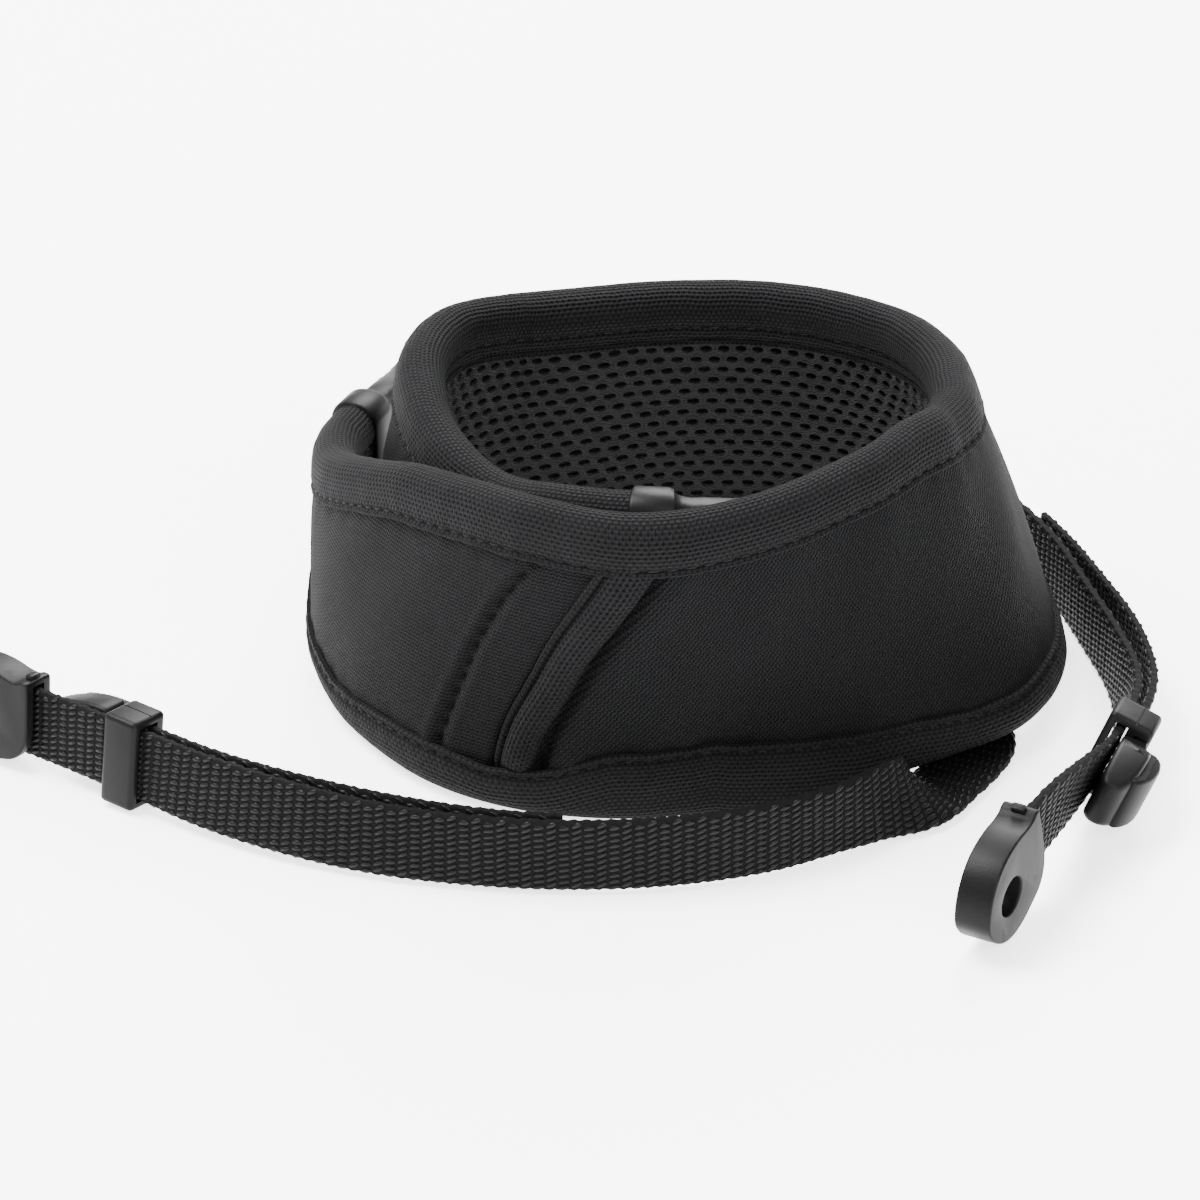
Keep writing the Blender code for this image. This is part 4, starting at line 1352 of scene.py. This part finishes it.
class STRAP_OT_webbing(bpy.types.Operator):
    """Both webbing straps and their free tails: a ribbon with toothed edges under herringbone yarns"""

    bl_idname = "strap.webbing"
    bl_label = "Webbing"

    def execute(self, context):
        sizes = context.scene.strap_web
        # The ribbon under the yarns takes the webbing colour at 0.2 and the yarns at 0.9: painted shade on
        # the ribbon between the yarns
        ground = webbing_finish("webbing_ground_painted_shade", 0.2, 0.8)
        yarn = webbing_finish("webbing_yarn", 0.9, 0.36)
        tree, motif = lattice_tree(), yarn_motif()
        for side in ("left", "right"):
            run = webbing_line(side, RIBBON_STATION)
            back = ADJUSTER_BACK[side] + SLEEVE_LENGTH / 2 - TAIL_POCKET_DEPTH + GAP
            share = np.linspace(0, 1, int(TAIL_LENGTH / RIBBON_STATION))
            place, ahead, face, wide = line_at(run, back + share * TAIL_LENGTH)
            face, wide = unit(face), unit(wide)
            offset = WEB_THICKNESS + GAP + SLACK + TAIL_BULGE * np.sin(math.pi * share) ** 2
            tail = (place + face * (offset * LEVER_SIDE[side])[:, None], ahead, face, wide)
            for name, line in ((side + "_webbing", run), (side + "_webbing_tail", tail)):
                rings = ribbon_rings(line, sizes)
                rings[..., 2] = np.maximum(rings[..., 2], FLOOR_CLEARANCE)
                ribbon = make_tube(name + "_ribbon", rings, ground)
                finish_piece(ribbon, "flat_webbing", "strap", name)
                points, faces = weave_on(line, tree, motif, yarn, sizes)
                points[:, 2] = np.maximum(points[:, 2], FLOOR_CLEARANCE)
                weave = make_body(name + "_weave", points, faces.tolist(), yarn, sharp=80)
                finish_piece(weave, "flat_webbing", "strap", name)
        bpy.data.objects.remove(motif, do_unlink=True)
        return {"FINISHED"}


# Plastics

# The collar's lip stands over its body, and soft ridges run across its neck
LIP_RISE = 0.45 * MM
GRIP_RISE, GRIP_PITCH, GRIP_START = 0.22 * MM, 3.4 * MM, 0.35


class STRAP_OT_collars(bpy.types.Operator):
    """Moulded collars on the pad's two ends, each with a lip over the pad and a socket for the webbing"""

    bl_idname = "strap.collars"
    bl_label = "Collars"

    def execute(self, context):
        plastic = plastic_finish()
        for name, side in (("inner_end", "left"), ("outer_end", "right")):
            width = collar_frame(side, 0)[4]
            tip_width = WEB_WIDTH + 2 * (GAP + FITTING_TIP_WALL)
            collar, tip = FITTING_THICKNESS / 2, FITTING_TIP_THICKNESS / 2
            lip = collar + LIP_RISE
            stations = [
                (-1.3 * MM, width / 2 + 0.1 * MM, lip - 0.45 * MM, 3.4 * MM),
                (-1.0 * MM, width / 2 + 0.5 * MM, lip - 0.1 * MM, 3.6 * MM),
                (-0.5 * MM, width / 2 + 0.6 * MM, lip, 3.6 * MM),
                (COLLAR_LENGTH - 1.0 * MM, width / 2 + 0.5 * MM, lip - 0.1 * MM, 3.4 * MM),
                (COLLAR_LENGTH - 0.3 * MM, width / 2 + 0.2 * MM, lip - 0.35 * MM, 3.1 * MM),
                (COLLAR_LENGTH + 0.1 * MM, width / 2 - 0.5 * MM, collar - 0.6 * MM, 2.4 * MM),
                (COLLAR_LENGTH + 0.9 * MM, width / 2 - 0.9 * MM, collar - 0.8 * MM, 2.2 * MM),
            ]
            neck = np.linspace(COLLAR_LENGTH + 2.5 * MM, FITTING_LENGTH - 1.2 * MM, 16)
            share = (neck - neck[0]) / (neck[-1] - neck[0])
            ease = share * share * (3 - 2 * share)
            ridges = np.maximum(np.sin(TAU * (neck - neck[0]) / GRIP_PITCH), 0)
            grip = GRIP_RISE * ridges * (share > GRIP_START)
            for at, e, g in zip(neck, ease, grip):
                half_width = (width / 2 - 1.3 * MM) * (1 - e) + tip_width / 2 * e
                half_depth = (collar - 0.85 * MM) * (1 - e) + tip * e + g
                stations.append((at, half_width, half_depth, 2.0 * MM * (1 - e) + 1.5 * MM * e))
            stations += [
                (FITTING_LENGTH - 0.5 * MM, tip_width / 2 - 0.05 * MM, tip - 0.05 * MM, 1.5 * MM),
                (FITTING_LENGTH - 0.1 * MM, tip_width / 2 - 0.3 * MM, tip - 0.3 * MM, 1.3 * MM),
                (FITTING_LENGTH, tip_width / 2 - 0.7 * MM, tip - 0.7 * MM, 1.0 * MM),
                (FITTING_LENGTH, WEB_WIDTH / 2 + GAP, WEB_THICKNESS / 2 + GAP, 0.5 * MM),
                (FITTING_LENGTH - 4 * MM, WEB_WIDTH / 2 + GAP, WEB_THICKNESS / 2 + GAP, 0.5 * MM),
            ]
            rings = []
            for at, half_width, half_depth, corner in stations:
                middle, _, out, up, _ = collar_frame(side, at)
                rings.append(rounded_section_ring(middle, up, out, half_width, half_depth, corner))
            rings = np.array(rings)
            piece = make_tube(name + "_collar", rings, plastic, sharp=35)
            finish_piece(piece, "satin_plastic", "strap", name + "_fitting")
        return {"FINISHED"}


def rounded_section_ring(middle, up, out, half_width, half_depth, corner, arc_points=6):
    """A rectangle with rounded corners, going round its middle once."""
    corner = min(corner, half_width * 0.99, half_depth * 0.99)
    points = []
    for sign_d, sign_w, start in ((1, 1, 0), (-1, 1, 90), (-1, -1, 180), (1, -1, 270)):
        for k in range(arc_points):
            angle = math.radians(start + 90 * k / (arc_points - 1))
            points.append(
                middle
                + out * (sign_d * (half_depth - corner) + corner * math.cos(angle))
                + up * (sign_w * (half_width - corner) + corner * math.sin(angle))
            )
    return points


def axes_frame(place, along, face, wide):
    matrix = Matrix.Identity(4)
    for column, axis in enumerate((along, face, wide, place)):
        for row in range(3):
            matrix[row][column] = float(axis[row])
    return matrix


def shifted(matrix, place):
    return matrix @ Matrix.Translation(place)


def make_block(size, matrix):
    bm = bmesh.new()
    bmesh.ops.create_cube(bm, size=1.0, matrix=matrix @ Matrix.Diagonal((*size, 1.0)))
    return from_bmesh(bm)


def from_bmesh(bm):
    mesh = bpy.data.meshes.new("part")
    bmesh.ops.recalc_face_normals(bm, faces=bm.faces)
    bm.to_mesh(mesh)
    bm.free()
    return add_object("part", mesh)


def rounded(obj, width, segments=4, angle=40):
    bevel = obj.modifiers.new("rounded", "BEVEL")
    bevel.width = width
    bevel.segments = segments
    bevel.limit_method = "ANGLE"
    bevel.angle_limit = math.radians(angle)
    return add_object("part", plain_mesh(obj))


def combined(body, tool, operation):
    modifier = body.modifiers.new("combined", "BOOLEAN")
    modifier.operation = operation
    modifier.object = tool
    modifier.solver = "EXACT"
    mesh = plain_mesh(body)
    bpy.data.objects.remove(tool, do_unlink=True)
    return add_object("part", mesh)


def named_part(obj, name, material, sharp=32):
    mesh = obj.data
    bpy.data.objects.remove(obj, do_unlink=True)
    mesh.materials.clear()
    mesh.materials.append(material)
    mesh.shade_smooth()
    mesh.set_sharp_from_angle(angle=math.radians(sharp))
    mesh.name = name
    return add_object(name, mesh)


def adjuster_place(side):
    """The sleeve's centre, its three axes, and the webbing's depth in it."""
    line = webbing_line(side, WEB_STATION)
    place, along, face, _ = (value[0] for value in line_at(line, np.array([ADJUSTER_BACK[side]])))
    along = unit(along)
    face = unit(face - along * face.dot(along)) * LEVER_SIDE[side]
    wide = np.cross(along, face)
    web_depth = -SLEEVE_THICKNESS / 2 + SLEEVE_WALL + (WEB_THICKNESS + 2 * GAP) / 2
    return place - face * web_depth, along, face, wide, web_depth


SLEEVE_EDGE_ROUND = 0.9 * MM
# The fine line round the sleeve's two ends, where its halves meet
SPLIT_PLACE, SPLIT_WIDTH, SPLIT_DEPTH = 0.6 * MM, 0.2 * MM, 0.5 * MM


class STRAP_OT_adjusters(bpy.types.Operator):
    """Adjuster sleeves round the webbing, and the levers hinged at their outer corners"""

    bl_idname = "strap.adjusters"
    bl_label = "Adjusters"

    def execute(self, context):
        plastic = bpy.data.materials["satin_plastic_grain"]
        for side in ("left", "right"):
            centre, along, face, wide, web_depth = adjuster_place(side)

            def at(along_by, face_by):
                return axes_frame(centre + along * along_by + face * face_by, along, face, wide)

            sleeve_width = WEB_WIDTH + 2 * (GAP + SLEEVE_WALL)
            inner_width = WEB_WIDTH + 2 * GAP
            channel = WEB_THICKNESS + 2 * GAP
            pocket = 2 * WEB_THICKNESS + 3 * GAP + SLACK
            hub_along = SLEEVE_LENGTH / 2 - LEVER_HUB_RADIUS - GAP
            hub_face = SLEEVE_THICKNESS / 2 - LEVER_HUB_RADIUS
            notch = 2 * (LEVER_HUB_RADIUS + GAP)
            notch_width = sleeve_width - 2 * CHEEK
            block = make_block((SLEEVE_LENGTH, SLEEVE_THICKNESS, sleeve_width), at(0, 0))
            body = rounded(block, SLEEVE_EDGE_ROUND)
            cuts = (
                ((SLEEVE_LENGTH * 2, channel, inner_width), at(0, web_depth)),
                ((2 * TAIL_POCKET_DEPTH, pocket, inner_width),
                 at(-SLEEVE_LENGTH / 2, web_depth + (pocket - channel) / 2)),
                ((2 * notch, 2 * notch, notch_width), at(hub_along + notch / 2, hub_face + notch / 2)),
            )
            for size, matrix in cuts:
                body = combined(body, make_block(size, matrix), "DIFFERENCE")
            for end in (-0.5, 0.5):
                split = make_block(
                    (SLEEVE_LENGTH * 2, SPLIT_WIDTH, SPLIT_DEPTH),
                    shifted(at(0, SPLIT_PLACE), (0, 0, end * sleeve_width)),
                )
                body = combined(body, split, "DIFFERENCE")
            sleeve = named_part(body, side + "_sleeve", plastic)
            finish_piece(sleeve, "satin_plastic", "strap", side + "_adjuster_sleeve")
            lever = make_lever(at(hub_along, hub_face), web_depth - hub_face, notch_width)
            lever = named_part(lever, side + "_lever_paddle", plastic, 50)
            finish_piece(lever, "satin_plastic", side + "_lever", side + "_adjuster_lever")
        return {"FINISHED"}


# The lever's sections: length along it, depth nearest the webbing, depth away from it, half width and corner.
# The depth nearest the webbing is a share of the way from hinge to webbing, and the rest are millimetres.
LEVER_SECTIONS = (
    (0.3, 0.33, 0.90, 5.20, 0.4),
    (1.7, 0.42, 1.05, 5.35, 0.4),
    (1.95, 0.85, 1.20, 5.35, 0.5),
    (2.2, 1.0, 1.30, 5.35, 0.6),
    (3.5, 1.0, 1.40, 5.35, 0.6),
    (3.8, 1.0, 2.00, 5.80, 0.7),
    (4.2, 1.0, 2.25, 6.00, 0.7),
    (6.0, 1.0, 2.30, 5.95, 0.7),
    (8.0, 1.0, 2.25, 5.70, 0.8),
    (10.0, 1.0, 2.10, 5.20, 0.9),
    (11.5, 1.0, 1.85, 4.75, 1.0),
    (12.8, 0.97, 1.45, 4.30, 1.1),
    (13.7, 0.87, 0.90, 3.95, 1.1),
    (14.2, 0.70, 0.35, 3.70, 0.9),
    (14.4, 0.52, -0.15, 3.40, 0.5),
)
# The bow on the lever's outer side, in millimetres along the lever and off the hinge
BOW_OUTLINE = (
    (1.6, 1.2), (2.9, 0.6), (9.4, 0.6), (10.6, 0.8), (11.6, 1.4), (11.9, 2.0), (11.4, 2.7), (10.4, 3.4),
    (8.8, 4.1), (7.0, 4.5), (5.0, 4.6), (3.2, 4.3), (2.1, 3.7), (1.6, 2.8),
)
BOW_HALF_WIDTH = 4.6 * MM
BOW_EDGE_ROUND = 0.55 * MM
BOW_SLIT = (8 * MM, 0.22 * MM, 0.6 * MM)
BOW_SLIT_PLACE = (6.0 * MM, 3.3 * MM, BOW_HALF_WIDTH)
LEVER_CLEARANCE = 0.2 * MM
# The round pip on the lever's side
PIP_RADIUS = 0.75 * MM
PIP_PLACE = (5.1 * MM, 0.3 * MM, 5.42 * MM)


def extruded(outline, half, matrix):
    """An outline pushed out both ways along Z."""
    bm = bmesh.new()
    rings = [[bm.verts.new((x, y, end)) for x, y in outline] for end in (-half, half)]
    for i in range(len(outline)):
        j = (i + 1) % len(outline)
        bm.faces.new((rings[0][i], rings[0][j], rings[1][j], rings[1][i]))
    bm.faces.new(rings[0])
    bm.faces.new(rings[1])
    bm.transform(matrix)
    return from_bmesh(bm)


def make_lever(matrix, web_depth, notch_width):
    """The lever: hub, flat neck, wider paddle that narrows to a rounded tip, and bow on its outer side."""
    inner = web_depth + WEB_THICKNESS / 2 + LEVER_CLEARANCE
    along, off, across = np.eye(3)
    bm = bmesh.new()
    rings = []
    for x, near, far, half_width, corner in LEVER_SECTIONS:
        low, high = near * inner, far * MM
        middle = along * x * MM + off * (low + high) / 2
        ring = rounded_section_ring(middle, across, off, half_width * MM, (high - low) / 2, corner * MM)
        rings.append([bm.verts.new(point) for point in ring])
    for first, second in zip(rings, rings[1:]):
        for i in range(len(first)):
            j = (i + 1) % len(first)
            bm.faces.new((first[i], first[j], second[j], second[i]))
    bm.faces.new(rings[0])
    bm.faces.new(rings[-1])
    bm.transform(matrix)
    paddle = from_bmesh(bm)
    turn = np.linspace(0, TAU, 28, endpoint=False)
    hub = [(LEVER_HUB_RADIUS * math.cos(a), LEVER_HUB_RADIUS * math.sin(a)) for a in turn]
    lever = combined(extruded(hub, notch_width / 2 - GAP, matrix), paddle, "UNION")
    bow = extruded([(x * MM, y * MM) for x, y in BOW_OUTLINE], BOW_HALF_WIDTH, matrix)
    slit = make_block(BOW_SLIT, shifted(matrix, BOW_SLIT_PLACE))
    lever = combined(lever, combined(rounded(bow, BOW_EDGE_ROUND, 3, 50), slit, "DIFFERENCE"), "UNION")
    bm = bmesh.new()
    bmesh.ops.create_uvsphere(
        bm, u_segments=20, v_segments=12, radius=PIP_RADIUS, matrix=shifted(matrix, PIP_PLACE)
    )
    return combined(lever, from_bmesh(bm), "UNION")


# The connector's outline: millimetres past the webbing's end and off its middle line, from its collar's top
EYE_OUTLINE = (
    (-2.8, 6.7), (-2.7, 7.15), (-2.3, 7.35), (-1.6, 7.35), (-1.0, 7.1), (-0.4, 6.95), (0.6, 7.0), (1.8, 7.2),
    (3.4, 7.6), (5.4, 7.85), (7.6, 7.85), (9.8, 7.45), (12.0, 6.45), (13.9, 4.9), (15.3, 3.0), (16.1, 1.2),
    (16.3, 0.0), (16.1, -1.2), (15.3, -3.0), (13.9, -4.9), (12.0, -6.45), (9.8, -7.4), (7.6, -7.7),
    (5.4, -7.65), (3.4, -7.3), (1.8, -6.95), (0.4, -6.5), (-0.8, -5.7), (-1.8, -4.5), (-2.5, -2.8),
    (-2.8, -0.6), (-2.85, 3.5),
)
EYE_PLACE = 8.6 * MM
EYE_HOLE_LENGTH = 6.6 * MM
EYE_EDGE_ROUND = 0.5 * MM
# A small block on the hole's rim, and a tab on the collar: size, place and rounding
RIM_BUMP = (1.1 * MM, 1.6 * MM, 2.4 * MM)
RIM_BUMP_PLACE = (EYE_PLACE, -EYE_HOLE_RADIUS, EYE_THICKNESS / 2 - 2.4 * MM)
RIM_BUMP_ROUND = 0.3 * MM
TAB = (1.3 * MM, 1.5 * MM, 2.2 * MM)
TAB_PLACE = (-1.7 * MM, 7.3 * MM, 0)
TAB_ROUND = 0.25 * MM


class STRAP_OT_connectors(bpy.types.Operator):
    """Eyed connectors: one smooth oval body that takes the webbing's end, with a small tab on its collar"""

    bl_idname = "strap.connectors"
    bl_label = "Connectors"

    def execute(self, context):
        plastic = bpy.data.materials["satin_plastic_grain"]
        for side in ("left", "right"):
            place, along, face, wide = (value[-1] for value in webbing_line(side, WEB_STATION))
            drop = math.radians(CONNECTOR_DROP_DEG[side])
            ahead = unit(along * math.cos(drop) - wide * math.sin(drop))
            across = np.cross(face, ahead)
            matrix = axes_frame(place, ahead, across, face)
            half = EYE_THICKNESS / 2
            outer = smooth_outline(EYE_OUTLINE)
            turn = np.linspace(0, TAU, 40, endpoint=False)
            hole = [
                (EYE_PLACE + EYE_HOLE_LENGTH / 2 * math.cos(a), EYE_HOLE_RADIUS * math.sin(a)) for a in turn
            ]
            body = combined(extruded(outer, half, matrix), extruded(hole, 2 * half, matrix), "DIFFERENCE")
            body = rounded(body, EYE_EDGE_ROUND, 4, 50)
            bump = make_block(RIM_BUMP, shifted(matrix, RIM_BUMP_PLACE))
            body = combined(body, rounded(bump, RIM_BUMP_ROUND, 2), "UNION")
            tab = make_block(TAB, shifted(matrix, TAB_PLACE))
            body = combined(body, rounded(tab, TAB_ROUND, 2), "UNION")
            depth = SADDLE_SOCKET_DEPTH
            socket = axes_frame(place - along * (depth - 2 * GAP), along, face, wide)
            size = (2 * depth, WEB_THICKNESS + 3 * GAP, WEB_WIDTH + 3 * GAP)
            body = combined(body, make_block(size, socket), "DIFFERENCE")
            piece = named_part(body, side + "_eye_connector", plastic)
            finish_piece(piece, "satin_plastic", "strap", side + "_connector")
        return {"FINISHED"}


def smooth_outline(points):
    """A smooth curve through an outline given in millimetres."""
    table = np.array(points) * MM
    keys = np.arange(len(table), dtype=float)
    return smooth_rows(keys, table, np.linspace(0, keys[-1], 3 * len(table))).tolist()


# Stage


def add_light(name, place, target, size, power):
    data = bpy.data.lights.new(name, "AREA")
    data.size = size
    data.energy = power
    light = bpy.data.objects.new(name, data)
    bpy.context.scene.collection.objects.link(light)
    way = Matrix.Translation(place).to_translation() - Matrix.Translation(target).to_translation()
    light.matrix_world = Matrix.Translation(place) @ way.to_track_quat("Z", "Y").to_matrix().to_4x4()


# Name, place, size and power of each light, all of them turned to one place
LIGHTS = (
    ("key_light", (-0.6, 0.1, 1.15), 0.8, 70),
    ("front_light", (0.45, -1.0, 0.75), 0.8, 20),
    ("rim_light", (0.25, 0.95, 0.85), 0.7, 42),
)
LIGHT_TARGET = (0, 0, 0.02)
WHITE = (1.0, 1.0, 1.0, 1.0)
FLOOR_REACH = 3.0
FLOOR_GLOW = 2.4

CAMERA_TARGET = (8.311 * MM, -4.694 * MM, 20.242 * MM)
CAMERA_DISTANCE = 850 * MM
CAMERA_ELEVATION = math.radians(28)
CAMERA_LENS = 163.2


class STRAP_OT_stage(bpy.types.Operator):
    """Pale floor, soft studio light and the camera at the photograph's angle"""

    bl_idname = "strap.stage"
    bl_label = "Stage"

    def execute(self, context):
        mesh = bpy.data.meshes.new("pale_floor")
        corners = ((-1, -1), (1, -1), (1, 1), (-1, 1))
        mesh.from_pydata([(x * FLOOR_REACH, y * FLOOR_REACH, 0) for x, y in corners], [], [(0, 1, 2, 3)])
        colour = context.scene.strap_colours.floor

        def surface(sketch):
            speck = sketch.noise(object_place(sketch), 300.0, 2.0)
            return (
                sketch.blend(speck, shade(colour, 0.995), shade(colour, 1.005)), 0.6 + speck * 0.02, speck,
                0.01 * MM, 0.1,
            )

        finish = {"Specular IOR Level": 0.2, "Emission Color": WHITE, "Emission Strength": FLOOR_GLOW}
        mesh.materials.append(make_finish("pale_floor", surface, finish))
        add_object("pale_floor", mesh)
        world = bpy.data.worlds.new("soft_surround")
        world.use_nodes = True
        background = world.node_tree.nodes["Background"]
        background.inputs["Color"].default_value = WHITE
        background.inputs["Strength"].default_value = 1.0
        context.scene.world = world
        for name, place, size, power in LIGHTS:
            add_light(name, place, LIGHT_TARGET, size, power)
        data = bpy.data.cameras.new("photo_camera")
        data.lens = CAMERA_LENS
        data.sensor_width = 36
        data.clip_start = 0.01
        camera = bpy.data.objects.new("photo_camera", data)
        context.scene.collection.objects.link(camera)
        camera.location = (
            CAMERA_TARGET[0],
            CAMERA_TARGET[1] - CAMERA_DISTANCE * math.cos(CAMERA_ELEVATION),
            CAMERA_TARGET[2] + CAMERA_DISTANCE * math.sin(CAMERA_ELEVATION),
        )
        camera.rotation_euler = (math.pi / 2 - CAMERA_ELEVATION, 0, 0)
        context.scene.camera = camera
        return {"FINISHED"}


STEPS = (
    STRAP_OT_knit_panel,
    STRAP_OT_air_mesh,
    STRAP_OT_bindings,
    STRAP_OT_rolled_fold,
    STRAP_OT_stitches,
    STRAP_OT_webbing,
    STRAP_OT_collars,
    STRAP_OT_adjusters,
    STRAP_OT_connectors,
    STRAP_OT_stage,
)


class STRAP_PT_sidebar(bpy.types.Panel):
    """Lists the strap's pieces, sizes and colours"""

    bl_idname = "STRAP_PT_sidebar"
    bl_label = "Binocular Strap"
    bl_space_type = "VIEW_3D"
    bl_region_type = "UI"
    bl_category = "Strap"

    def draw(self, context):
        for step in STEPS:
            self.layout.operator(step.bl_idname)
        for settings in (context.scene.strap_pad, context.scene.strap_web, context.scene.strap_colours):
            box = self.layout.box()
            for name in settings.bl_rna.properties.keys():
                if name not in ("rna_type", "name"):
                    box.prop(settings, name)


SETTINGS = {"strap_pad": StrapPadSizes, "strap_web": StrapWebSizes, "strap_colours": StrapColours}


def register():
    for kind in (*SETTINGS.values(), *STEPS, STRAP_PT_sidebar):
        bpy.utils.register_class(kind)
    for name, kind in SETTINGS.items():
        setattr(bpy.types.Scene, name, PointerProperty(type=kind))


def unregister():
    for name in SETTINGS:
        delattr(bpy.types.Scene, name)
    for kind in (STRAP_PT_sidebar, *reversed(STEPS), *SETTINGS.values()):
        bpy.utils.unregister_class(kind)


def main():
    register()
    for step in STEPS:
        group, name = step.bl_idname.split(".")
        getattr(getattr(bpy.ops, group), name)()


if __name__ == "__main__":
    main()
